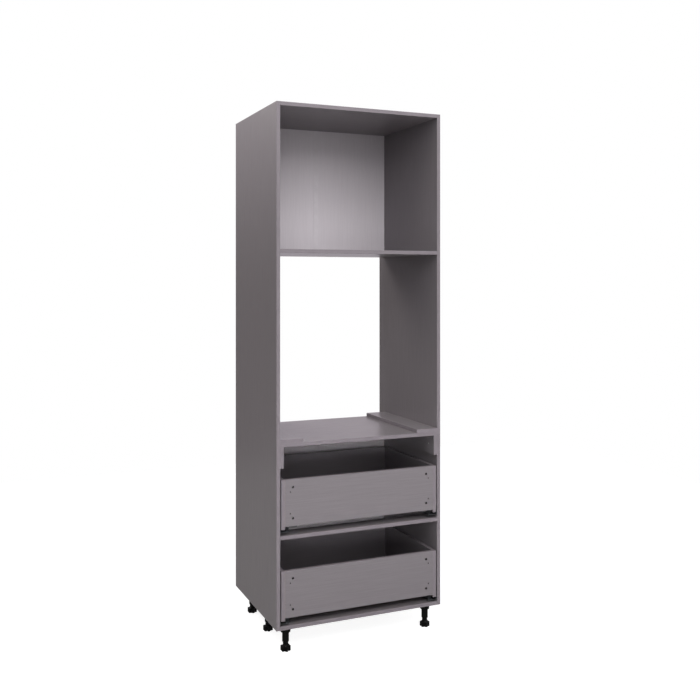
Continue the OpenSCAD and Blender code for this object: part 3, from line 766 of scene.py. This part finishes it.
def socket():
    """One socket about the Z axis: flange, collar, four webs, bore and four pegs."""
    half = FLANGE_W / 2
    body = block("socket", (-half, -half, BASE - FLANGE_T), (half, half, BASE))
    round_edges(body, lambda edge: along(edge) == 2, FLANGE_R, 6)
    round_edges(body, lambda edge: flat_on(edge, 2, BASE - FLANGE_T), FLANGE_EDGE)
    low = BASE - SOCKET_H
    collar = spun("collar", [(0, low), (COLLAR_R - COLLAR_EDGE, low), (COLLAR_R - COLLAR_BEND, low + COLLAR_BEND),
                             (COLLAR_R, low + COLLAR_EDGE), (COLLAR_R, BASE - MM), (0, BASE - MM)], 64)
    carve(body, collar, "UNION")
    web = profile("web", [(WEB_IN, -WEB_T / 2, low + 4 * MM), (WEB_LOW_OUT, -WEB_T / 2, low + 4 * MM),
                          (WEB_TOP_OUT, -WEB_T / 2, BASE - 2 * MM), (WEB_IN, -WEB_T / 2, BASE - 2 * MM)],
                  [], (0, WEB_T, 0))
    for blade in around(web, 4):
        carve(body, blade, "UNION")
    bore = rod("bore", (0, 0, low - PAST), (0, 0, BORE_TOP), BORE_R, 64)
    carve(body, bore)
    for x in (PEG_INSET - half, half - PEG_INSET):
        for y in (PEG_INSET - half, half - PEG_INSET):
            peg = rod("peg", (x, y, BASE - MM), (x, y, BASE + PEG_H), PEG_R - SLIP, 24)
            round_edges(peg, lambda edge: flat_on(edge, 2, BASE + PEG_H), PEG_TIP, 1)
            carve(body, peg, "UNION")
    return body


one_socket = socket()
print(len(one_socket.data.polygons), "faces in a socket")

# %% [markdown]
# ## Tube
# The tube is a plain sleeve with a closed top and chamfered ends. Two cylinders and a boolean could make it, but one
# chain of points in millimetres, spun about the leg's axis, gives the outside, the bore and both chamfers at once.

# %% The tube
TUBE_R, TUBE_BORE = 14.25, 11.8
TUBE_LOW, TUBE_TOP, TUBE_ROOF = 37.4, 99.6, 96.6
one_tube = spun("tube", millimetres([
    (0, TUBE_ROOF), (TUBE_BORE, TUBE_ROOF), (TUBE_BORE, TUBE_LOW + 0.4), (TUBE_BORE + 0.4, TUBE_LOW),
    (TUBE_R - 1.5, TUBE_LOW), (TUBE_R - 0.45, TUBE_LOW + 0.45), (TUBE_R, TUBE_LOW + 1.5),
    (TUBE_R, TUBE_TOP - 1), (TUBE_R - 1, TUBE_TOP), (0, TUBE_TOP)]), 64)
print(len(one_tube.data.polygons), "faces in a tube")

# %% [markdown]
# ## Adjusting thread
# The foot screws into its tube on a coarse thread. Stacked rings would look right from the front, but wrong from
# close by. So it is a real helix: one tooth is turned by a Screw modifier that climbs one pitch a turn, and its
# ragged ends are cut square.

# %% The thread
THREAD_R, TOOTH, PITCH, TURNS = 11.75, 1.0, 4.0, 13
THREAD_LOW = 23.4


def thread():
    """A helical thread about the Z axis, cut square and closed at both ends."""
    start = THREAD_LOW - PITCH
    root = THREAD_R - TOOTH
    tooth = [(root, 0), (root, 0.2), (THREAD_R, 0.38), (THREAD_R, 0.62), (root, 0.8), (root, 1)]
    piece = wire("thread", [(r * MM, 0, (start + z * PITCH) * MM) for r, z in tooth])
    only(piece)
    turn = piece.modifiers.new("turn", "SCREW")
    turn.axis = "Z"
    turn.angle = math.tau
    turn.screw_offset = PITCH * MM
    turn.iterations = TURNS + 2
    turn.steps = turn.render_steps = 32
    bpy.ops.object.modifier_apply(modifier=turn.name)
    outward(piece)
    for level, way in ((THREAD_LOW, -1), (THREAD_LOW + TURNS * PITCH, 1)):
        edit(piece)
        bpy.ops.mesh.bisect(plane_co=(0, 0, level * MM), plane_no=(0, 0, way), use_fill=True, clear_outer=True)
    outward(piece)
    return piece


# %% [markdown]
# ## Foot
# The foot is a knob with six lobes, which fingers turn to level the unit. One lobe is a rounded rod. Six copies are
# added to a disc, a cone leads up to the thread, and the sole is hollowed a little, as a moulded one is.

# %% The foot
LOBES, LOBE_R, LOBE_AT = 6, 7 * MM, 14.75 * MM
FOOT_H, HUB_H, LOBE_ROUND, SOLE_RIM = 20.4 * MM, 4 * MM, 1.5 * MM, 2 * MM
HUB_SUNK = 0.5 * MM


def foot():
    """One foot about the Z axis: six lobes, a hollow sole, a cone and the thread."""
    body = rod("foot", (0, 0, 0), (0, 0, FOOT_H), LOBE_AT, 60)
    lobe = rod("lobe", (0, -LOBE_AT, 0), (0, -LOBE_AT, FOOT_H), LOBE_R, 40)
    round_edges(lobe, lambda edge: flat_on(edge, 2, 0) or flat_on(edge, 2, FOOT_H), LOBE_ROUND, 3)
    for blade in around(lobe, LOBES):
        carve(body, blade, "UNION")
    only(None)
    bpy.ops.mesh.primitive_cone_add(vertices=60, radius1=LOBE_AT - 0.3 * MM, radius2=THREAD_R * MM,
                                    depth=HUB_H + HUB_SUNK, location=(0, 0, FOOT_H + (HUB_H - HUB_SUNK) / 2))
    carve(body, named("cone"), "UNION")
    edit(body, "FACE")
    pick(body, "faces", lambda face: face.normal.z < -0.99 and flat_on(face, 2, 0))
    bpy.ops.mesh.inset(thickness=SOLE_RIM, depth=0)
    bpy.ops.transform.translate(value=(0, 0, MM))
    only(body)
    return joined("foot", [body, thread()])


one_foot = foot()
print(len(one_foot.data.polygons), "faces in a foot")

# %% [markdown]
# ## Six legs
# The legs are alike, so each pattern is copied to its place, with its own mesh. A foot moves by itself and stays a
# piece of its own. The sockets and tubes of a row never move, so each row's pair is joined.

# %% Set out the six legs
for row in ("front", "middle", "rear"):
    pairs = {"socket": [], "tube": []}
    for side in ("left", "right"):
        low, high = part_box(f"leg_foot_{row}_{side}")
        place = Matrix.Translation(((low.x + high.x) / 2, (low.y + high.y) / 2, 0))
        for kind, pattern in (("socket", one_socket), ("tube", one_tube)):
            pairs[kind].append(copied(pattern, kind, place))
        dress(copied(one_foot, f"{row}_{side}_foot", place), black_plastic, f"leg_foot_{row}_{side}")
    for kind, pair in pairs.items():
        dress(joined(f"{row}_{kind}s", pair), black_plastic, f"leg_{kind}s_{row}")
for pattern in (one_socket, one_tube, one_foot):
    bpy.data.objects.remove(pattern)
print("six legs")

# %% [markdown]
# ## Screws
# Two kinds show: countersunk ones in the battens and packers, and flat-headed ones that hold the runners. Threads
# are inside the wood, where nothing shows them, so the shanks are left plain. Each screw is spun from a half
# section, and its cross recess is cut by two crossed wedges. One of each is made and copied to its places.

# %% One screw of each kind
RECESS_TAPER = (0.45, 0.7, 1)


def recess(width, length, depth):
    """A cross-shaped cutter that narrows downwards, with its rim at height 0."""
    wedges = []
    for turn in (0, math.pi / 2):
        wedge = block("tool", (-length / 2, -width / 2, -PAST), (length / 2, width / 2, depth))
        edit(wedge)
        pick(wedge, "verts", lambda vert: vert.co.z > 0)
        bpy.ops.transform.resize(value=RECESS_TAPER, center_override=(0, 0, depth))
        wedges.append(copied(wedge, "tool", Matrix.Rotation(turn, 4, "Z")))
        bpy.data.objects.remove(wedge)
    carve(wedges[0], wedges[1], "UNION")
    return wedges[0]


COUNTERSUNK = [(0, 0), (3.75, 0), (3.95, 0.2), (2.0, 2.0), (2.0, 25.5), (0.3, 27.8), (0, 27.8)]
FLAT_HEAD = [(0, 0), (3.4, 0), (4.2, 0.35), (4.5, 0.95), (4.5, 1.4), (2.5, 1.4), (2.5, 13.4), (1.2, 14.85), (0, 14.85)]
wood_screw = spun("wood_screw", millimetres(COUNTERSUNK), 32)
carve(wood_screw, recess(0.9 * MM, 4.4 * MM, 1.7 * MM))
rail_screw = spun("rail_screw", millimetres(FLAT_HEAD), 32)
carve(rail_screw, recess(1.0 * MM, 5.0 * MM, 1.2 * MM))
print(len(wood_screw.data.polygons), "and", len(rail_screw.data.polygons), "faces")

# %% Set out the screws
SCREW_IN = (50 * MM, 270 * MM, 490 * MM)
RAIL_SCREW_IN = (40 * MM, 250 * MM, 460 * MM)
RAIL_SCREW_UP = 29 * MM
HEAD_PROUD = 2.9 * MM
screws = []
for side, way in (("left", -1), ("right", 1)):
    outwards = Matrix.Rotation(way * math.pi / 2, 4, "Y")
    low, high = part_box(f"{side}_deck_batten")
    face = high.x if way < 0 else low.x
    packer_low, packer_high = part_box(f"{side}_oven_packer")
    for inset in SCREW_IN:
        y = low.y + inset
        screws.append(copied(wood_screw, "screw", Matrix.Translation((face, y, (low.z + high.z) / 2)) @ outwards))
        spot = Vector(((packer_low.x + packer_high.x) / 2, y, high.z))
        screws.append(copied(wood_screw, "screw", Matrix.Translation(spot)))
    for tier in ("upper", "lower"):
        low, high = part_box(f"{tier}_{side}_rail")
        wall = (low.x, high.x)[way > 0] - way * HEAD_PROUD
        for inset in RAIL_SCREW_IN:
            spot = Vector((wall, low.y + inset, low.z + RAIL_SCREW_UP))
            screws.append(copied(rail_screw, "screw", Matrix.Translation(spot) @ outwards))
for pattern in (wood_screw, rail_screw):
    bpy.data.objects.remove(pattern)
dress(joined("carcass_screw_set", screws), fitting_zinc, "carcass_screws")
print(len(screws), "screws")

# %% [markdown]
# ## Runners
# A concealed runner has three members of rolled steel: a rail on the carcass side, a middle member, and a drawer
# member. They slide in each other, so the drawer comes out for its whole length. Each is made once, for the right
# side of the upper drawer, then mirrored and lowered. A mirror turns a mesh inside out, so each copy has its normals
# put right.

# %% Repeat a runner part at the four runners
upper, lower = (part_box(f"{tier}_right_rail")[0].z for tier in ("upper", "lower"))
MIRROR = Matrix.Scale(-1, 4, (1, 0, 0))


def at_all_four(pattern, part):
    """Copies a right upper part to both sides of both drawers, and throws the pattern away."""
    for tier, drop in (("upper", 0), ("lower", lower - upper)):
        for side, flip in (("right", Matrix()), ("left", MIRROR)):
            piece = copied(pattern, f"{tier}_{side}_{part}_steel", Matrix.Translation((0, 0, drop)) @ flip)
            outward(piece)
            dress(piece, runner_zinc, f"{tier}_{side}_{part}")
    bpy.data.objects.remove(pattern)
    print("four of", part)


# %% [markdown]
# ## Rail
# The rail is one strip of steel, rolled into a wall, a floor and two lips that guide the middle member. Thin blocks
# set against each other would have sharp corners, and rolled steel has round bends, so its section is drawn as an
# outline with rounded bends and extruded.

# %% The rail's section
STEEL, BEND_R, INNER_BEND_R, RAIL_EDGE = 1.5 * MM, 2 * MM, 0.5 * MM, 0.2 * MM
LIPS, LIP_H, LIP_ROUND = (26.6 * MM, 38.7 * MM), 8.5 * MM, 0.6 * MM
low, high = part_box("upper_right_rail")
wall = high.x
outline = [(wall, low.z), (wall, high.z), (wall - STEEL, high.z), (wall - STEEL, low.z + STEEL)]
for lip in LIPS:
    outline += [(wall - lip, low.z + STEEL), (wall - lip, low.z + LIP_H),
                (wall - lip - STEEL, low.z + LIP_H), (wall - lip - STEEL, low.z + STEEL)]
outline += [(low.x, low.z + STEEL), (low.x, low.z)]


def lip_top(spot):
    return abs(spot.z - low.z - LIP_H) < NEAR


def bend(spot):
    return abs(spot.x - wall) < NEAR and abs(spot.z - low.z) < NEAR


def inner_bend(spot):
    return abs(spot.z - low.z - STEEL) < NEAR and spot.x > low.x + NEAR


rail = profile("rail", [(x, low.y, z) for x, z in outline],
               [(BEND_R, 5, bend), (INNER_BEND_R, 3, inner_bend), (LIP_ROUND, 3, lip_top)],
               (0, high.y - low.y, 0))
ease(rail, RAIL_EDGE, 1)
print(len(rail.data.polygons), "faces in the plain rail")

# %% Holes in the rail
SCREW_HOLE_R, SLOT_R, SLOT_L = 2.55 * MM, 2.2 * MM, 8 * MM
WALL_SLOT_IN = (90 * MM, 190 * MM, 310 * MM, 410 * MM)
FLOOR_SLOT_IN, FLOOR_SLOT_L = (60 * MM, 150 * MM, 350 * MM, 440 * MM), 24 * MM
FLOOR_SLOT_FAR, FLOOR_SLOT_NEAR, FLOOR_SLOT_R = 20 * MM, 9 * MM, 3 * MM


def wall_hole(inset, radius):
    """A short rod through the rail's wall, at the height of its screws."""
    y, z = low.y + inset, low.z + RAIL_SCREW_UP
    return rod("tool", (wall - 5 * MM, y, z), (wall + PAST, y, z), radius, 24)


holes = [wall_hole(inset, SCREW_HOLE_R) for inset in RAIL_SCREW_IN]
for inset in WALL_SLOT_IN:
    slot = wall_hole(inset, SLOT_R)
    edit(slot)
    pick(slot, "verts", lambda vert: vert.co.y > low.y + inset)
    bpy.ops.transform.translate(value=(0, SLOT_L, 0))
    only(slot)
    holes.append(slot)
for inset in FLOOR_SLOT_IN:
    slot = block("tool", (wall - FLOOR_SLOT_FAR, low.y + inset, low.z - PAST),
                 (wall - FLOOR_SLOT_NEAR, low.y + inset + FLOOR_SLOT_L, low.z + 2 * STEEL))
    round_edges(slot, lambda edge: along(edge) == 2, FLOOR_SLOT_R, 5)
    holes.append(slot)
carve(rail, joined("tool", holes))
at_all_four(rail, "rail")

# %% [markdown]
# ## Middle member
# The middle member is a rolled tube, open at both ends, with windows that show the cage of its rollers. It starts as
# a block: the long edges are rounded, the ends deleted, and Solidify gives the skin the steel's thickness inwards,
# which is simpler than cutting a second block out of the first.

# %% The middle member
WINDOWS, WINDOW_IN, WINDOW_STEP = 7, 30 * MM, 64 * MM
WINDOW_L, WINDOW_EDGE, WINDOW_R = 34 * MM, 6 * MM, 2.5 * MM
low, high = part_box("upper_right_middle_member")
tube = block("middle", low, high)
round_edges(tube, lambda edge: along(edge) == 1, BEND_R, 5)
edit(tube, "FACE")
pick(tube, "faces", lambda face: abs(face.normal.y) > 0.9)
bpy.ops.mesh.delete(type="FACE")
only(tube)
wall_of = tube.modifiers.new("wall", "SOLIDIFY")
wall_of.thickness = STEEL
wall_of.offset = -1
bpy.ops.object.modifier_apply(modifier=wall_of.name)
windows = []
for k in range(WINDOWS):
    y = low.y + WINDOW_IN + k * WINDOW_STEP
    window = block("tool", (low.x - PAST, y, low.z + WINDOW_EDGE),
                   (high.x + PAST, y + WINDOW_L, high.z - WINDOW_EDGE))
    round_edges(window, lambda edge: along(edge) == 0, WINDOW_R, 4)
    windows.append(window)
carve(tube, joined("tool", windows))
at_all_four(tube, "middle_member")

# %% [markdown]
# ## Drawer member
# The drawer member is a channel turned upside down over the middle member. At its rear end stands a plate with a pin,
# which hooks into the drawer's back, and near its front a notch takes the clip's tooth. Channel, plate and pin are
# shaped one by one and then united, because each has roundings of its own.

# %% The channel
MEMBER_H = 16 * MM
low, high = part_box("upper_right_drawer_member")
top, back = low.z + MEMBER_H, high.y - HOOK_T
channel = profile("channel", [(x, low.y, z) for x, z in (
    (low.x, low.z), (low.x, top), (high.x, top), (high.x, low.z), (high.x - STEEL, low.z),
    (high.x - STEEL, top - STEEL), (low.x + STEEL, top - STEEL), (low.x + STEEL, low.z))],
    [(BEND_R, 5, lambda spot: abs(spot.z - top) < NEAR),
     (INNER_BEND_R, 3, lambda spot: abs(spot.z - top + STEEL) < NEAR)], (0, back - low.y, 0))
print(len(channel.data.polygons), "faces in the channel")

# %% The hook and the notch
PIN_L = 9 * MM
TOOTH_Y, TOOTH_L, TOOTH_LOW, TOOTH_TOP = 19 * MM, 10 * MM, 9 * MM, 4 * MM
hook_x, hook_z = (low.x + high.x) / 2, high.z - HOOK_R
plate = block("plate", (hook_x - HOOK_R, back - 3 * MM, top - STEEL), (hook_x + HOOK_R, high.y, top))
carve(channel, plate, "UNION")
tab = profile("tab", [(hook_x + HOOK_R * math.cos(a), back, hook_z + HOOK_R * math.sin(a))
                      for a in [math.radians(15 * k) for k in range(13)]]
              + [(hook_x - HOOK_R, back, top - STEEL), (hook_x + HOOK_R, back, top - STEEL)], [], (0, HOOK_T, 0))
carve(channel, tab, "UNION")
pin = rod("pin", (hook_x, back - PIN_L, hook_z), (hook_x, back + MM, hook_z), PIN_R - SLIP, 24)
round_edges(pin, lambda edge: flat_on(edge, 1, back - PIN_L), MM)
carve(channel, pin, "UNION")
notch_low = Vector((low.x - PAST, low.y + TOOTH_Y - SLIP, top - TOOTH_LOW - SLIP))
notch_high = Vector((low.x + 3 * MM, low.y + TOOTH_Y + TOOTH_L + SLIP, top - TOOTH_TOP + SLIP))
carve(channel, block("tool", notch_low, notch_high))
at_all_four(channel, "drawer_member")

# %% [markdown]
# ## Locking clips
# Under the front corners of each drawer a plastic clip grips the drawer member with a tooth. A solid block would
# hide that it is a thin moulding, so the block has its edges rounded, is hollowed from below by an inset pushed
# upwards, and gets two webs to stiffen it.

# %% The clip
CLIP_W, CLIP_R, CLIP_WALL, CLIP_ROOF, CLIP_WEB = 38 * MM, 3 * MM, 2 * MM, 2 * MM, 1.6 * MM
CLIP_EDGE, TOOTH_OUT, TOOTH_ROUND = 0.4 * MM, 1.55 * MM, 0.5 * MM
low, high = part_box("upper_drawer_clips")
tip = high.x
edge_x = tip - TOOTH_OUT
clip = block("clip", (edge_x - CLIP_W, low.y, low.z), (edge_x, high.y, high.z))
round_edges(clip, lambda edge: along(edge) == 2, CLIP_R, 4)
edit(clip, "FACE")
pick(clip, "faces", lambda face: face.normal.z < -0.9)
bpy.ops.mesh.inset(thickness=CLIP_WALL, depth=0)
bpy.ops.mesh.extrude_region_move(TRANSFORM_OT_translate={"value": (0, 0, high.z - low.z - CLIP_ROOF)})
outward(clip)
for k in (1, 2):
    x = edge_x - CLIP_W * k / 3
    web = block("web", (x - CLIP_WEB / 2, low.y + MM, low.z + MM), (x + CLIP_WEB / 2, high.y - MM, high.z - MM))
    carve(clip, web, "UNION")
ease(clip, CLIP_EDGE)
tooth = block("tooth", (edge_x - MM, low.y + TOOTH_Y, high.z - TOOTH_LOW),
              (tip, low.y + TOOTH_Y + TOOTH_L, high.z - TOOTH_TOP))
round_edges(tooth, lambda edge: flat_on(edge, 0, tip), TOOTH_ROUND)
carve(clip, tooth, "UNION")
print(len(clip.data.polygons), "faces in a clip")

# %% Set out the clips
for tier, drop in (("upper", 0), ("lower", lower - upper)):
    pair = [copied(clip, "clip", Matrix.Translation((0, 0, drop)) @ flip) for flip in (Matrix(), MIRROR)]
    both = joined(f"{tier}_clip_pair", pair)
    outward(both)
    dress(both, grey_plastic, f"{tier}_drawer_clips")
bpy.data.objects.remove(clip)
print("four clips")

# %% [markdown]
# ## Floor and backdrop
# The unit stands on white paper that has no visible horizon. The floor is a plane that glows almost white to the
# camera and adds a little lit grey, so the part under the unit that no lamp reaches keeps a faint shadow. Beyond
# its edge the world is the same white. Gloss shows the paper too, but dimmer, as a real sweep falls off in light.
# Stronger lamps would whiten a plain floor as well, but they would wash out the unit.

# %% The white floor
FLOOR_W = 7
SEEN_GLOW, SEEN_GREY, GLOSS_GLOW = 0.9, 0.4, 0.3


def combine(tree, operation, one, other):
    """A Math node with two sockets as its inputs."""
    math_node = tree.nodes.new("ShaderNodeMath")
    math_node.operation = operation
    for socket, value in zip(math_node.inputs, (one, other)):
        tree.links.new(value, socket)
    return math_node.outputs[0]


only(None)
bpy.ops.mesh.primitive_plane_add(size=FLOOR_W)
floor = named("floor")
pale, floor_tree, floor_shader = finish("pale_floor", tone(235, 235, 235), 0.9)
floor_shader.inputs["Specular IOR Level"].default_value = 0
rays = floor_tree.nodes.new("ShaderNodeLightPath")
glow = floor_tree.nodes.new("ShaderNodeEmission")
glow.inputs["Strength"].default_value = SEEN_GLOW
grey = floor_tree.nodes.new("ShaderNodeBsdfDiffuse")
grey.inputs["Color"].default_value = (SEEN_GREY, SEEN_GREY, SEEN_GREY, 1)
seen = floor_tree.nodes.new("ShaderNodeAddShader")
dim = floor_tree.nodes.new("ShaderNodeEmission")
dim.inputs["Strength"].default_value = GLOSS_GLOW
by_gloss, by_eye = (floor_tree.nodes.new("ShaderNodeMixShader") for _ in range(2))
shown = combine(floor_tree, "MAXIMUM", rays.outputs["Is Camera Ray"], rays.outputs["Is Transmission Ray"])
for start, end in ((glow.outputs[0], seen.inputs[0]), (grey.outputs[0], seen.inputs[1]),
                   (rays.outputs["Is Glossy Ray"], by_gloss.inputs[0]), (floor_shader.outputs[0], by_gloss.inputs[1]),
                   (dim.outputs[0], by_gloss.inputs[2]), (shown, by_eye.inputs[0]),
                   (by_gloss.outputs[0], by_eye.inputs[1]), (seen.outputs[0], by_eye.inputs[2]),
                   (by_eye.outputs[0], floor_tree.nodes["Material Output"].inputs["Surface"])):
    floor_tree.links.new(start, end)
floor.data.materials.append(pale)
print("floor of", round(floor.dimensions.x), "m")

# %% [markdown]
# ## The world
# To the camera and through glass the world is plain white. To gloss it is white as well, except low on the left
# behind the unit, where a studio would hang a dark cloth: a faced board seen at a slant then shows its own colour
# and not a veil of white. What gloss shows is tinted a little lilac, as the photograph's flat faces are. The world
# gives no light of its own, so the lamps alone shade the unit. A picture of a studio would do the same, but a few
# ramps over the directions are easier to adjust.

# %% White backdrop with a dark cloth
WHITE, LILAC = (1, 1, 1, 1), (1, 0.91, 1, 1)
FRONT_GLOW, CLOTH_GLOW = 0.3, 0.1
CLOTH_FOOT, CLOTH_TOP, CLOTH_SIDE, FRONT_EDGE = 0.02, 0.2, 0.08, 0.2
world = bpy.data.worlds.new("studio")
bpy.context.scene.world = world
world.use_nodes = True
sky = world.node_tree
backdrop = sky.nodes["Background"]
rays = sky.nodes.new("ShaderNodeLightPath")
way = sky.nodes.new("ShaderNodeTexCoord")
split = sky.nodes.new("ShaderNodeSeparateXYZ")
sky.links.new(way.outputs["Generated"], split.inputs[0])
above_cloth = ramp(sky, split.outputs["Z"], CLOTH_FOOT, CLOTH_TOP, CLOTH_GLOW, 1.0)
right_of_cloth = ramp(sky, split.outputs["X"], -CLOTH_SIDE, CLOTH_SIDE, 0.0, 1.0)
rear = ramp(sky, split.outputs["Y"], -FRONT_EDGE, FRONT_EDGE, FRONT_GLOW, 1.0)
gloss = combine(sky, "MULTIPLY", rear, combine(sky, "MAXIMUM", above_cloth, right_of_cloth))
shown = combine(sky, "MAXIMUM", rays.outputs["Is Camera Ray"], rays.outputs["Is Transmission Ray"])
veil = sky.nodes.new("ShaderNodeMixRGB")
veil.inputs["Color1"].default_value = WHITE
veil.inputs["Color2"].default_value = LILAC
sky.links.new(rays.outputs["Is Glossy Ray"], veil.inputs["Fac"])
sky.links.new(veil.outputs["Color"], backdrop.inputs["Color"])
sky.links.new(combine(sky, "MAXIMUM", shown, combine(sky, "MULTIPLY", rays.outputs["Is Glossy Ray"], gloss)),
              backdrop.inputs["Strength"])
print(len(sky.nodes), "nodes in the world")

# %% [markdown]
# ## Lamps
# Large softboxes five metres away give the plain light of a catalogue picture. Two stand in front above eye level,
# two low in front reach under the deck and the shelf, one hangs high on the left, and one behind on the left puts
# the sheen along the top of the side. One on the right keeps the far side out of the dark. A narrow strip with a
# grid shines level into the gaps round the drawers. Small lamps would give hard shadows that the photograph lacks.

# %% Hang the lamps
AIM = Vector((0, 0, 1.3))
REACH = 5.0


def softbox(name, turn, rise, power, size=(3.0, 2.2), color=(1, 1, 1)):
    """A softbox seen from the unit at a turn to the right of the front and a rise above level, in degrees."""
    turn, rise = math.radians(turn), math.radians(rise)
    lamp_data = bpy.data.lights.new(name, "AREA")
    lamp_data.shape = "RECTANGLE"
    lamp_data.size, lamp_data.size_y = size
    lamp_data.energy = power
    lamp_data.color = color
    lamp = bpy.data.objects.new(name, lamp_data)
    away = Vector((math.cos(rise) * math.sin(turn), -math.cos(rise) * math.cos(turn), math.sin(rise)))
    lamp.location = AIM + REACH * away
    lamp.rotation_euler = (-away).to_track_quat("-Z", "Y").to_euler()
    bpy.context.scene.collection.objects.link(lamp)
    return lamp


WARM = (1, 0.97, 0.9)
STRIP_AT, STRIP_AIM, STRIP_SIZE = Vector((-1.37, -3.76, 0.8)), Vector((0, 0, 0.7)), (2.4, 0.5)
STRIP_SPREAD = math.radians(30)
softbox("front_right", 20, 32, 61)
softbox("front_left", -15, 32, 108)
softbox("low_left", -15, 8, 28)
softbox("low_right", 20, 8, 30)
softbox("high_left", -50, 58, 74, color=WARM)
softbox("behind_left", -135, 35, 100, color=WARM)
softbox("right_fill", 90, 25, 55)
strip = softbox("level_strip", -20, 0, 1.8, STRIP_SIZE)
strip.location = STRIP_AT
strip.rotation_euler = (STRIP_AIM - STRIP_AT).to_track_quat("-Z", "Y").to_euler()
strip.data.spread = STRIP_SPREAD
bpy.context.scene.view_settings.view_transform = "Standard"
print(round(sum(lamp.energy for lamp in bpy.data.lights)), "W in", len(bpy.data.lights), "lamps")
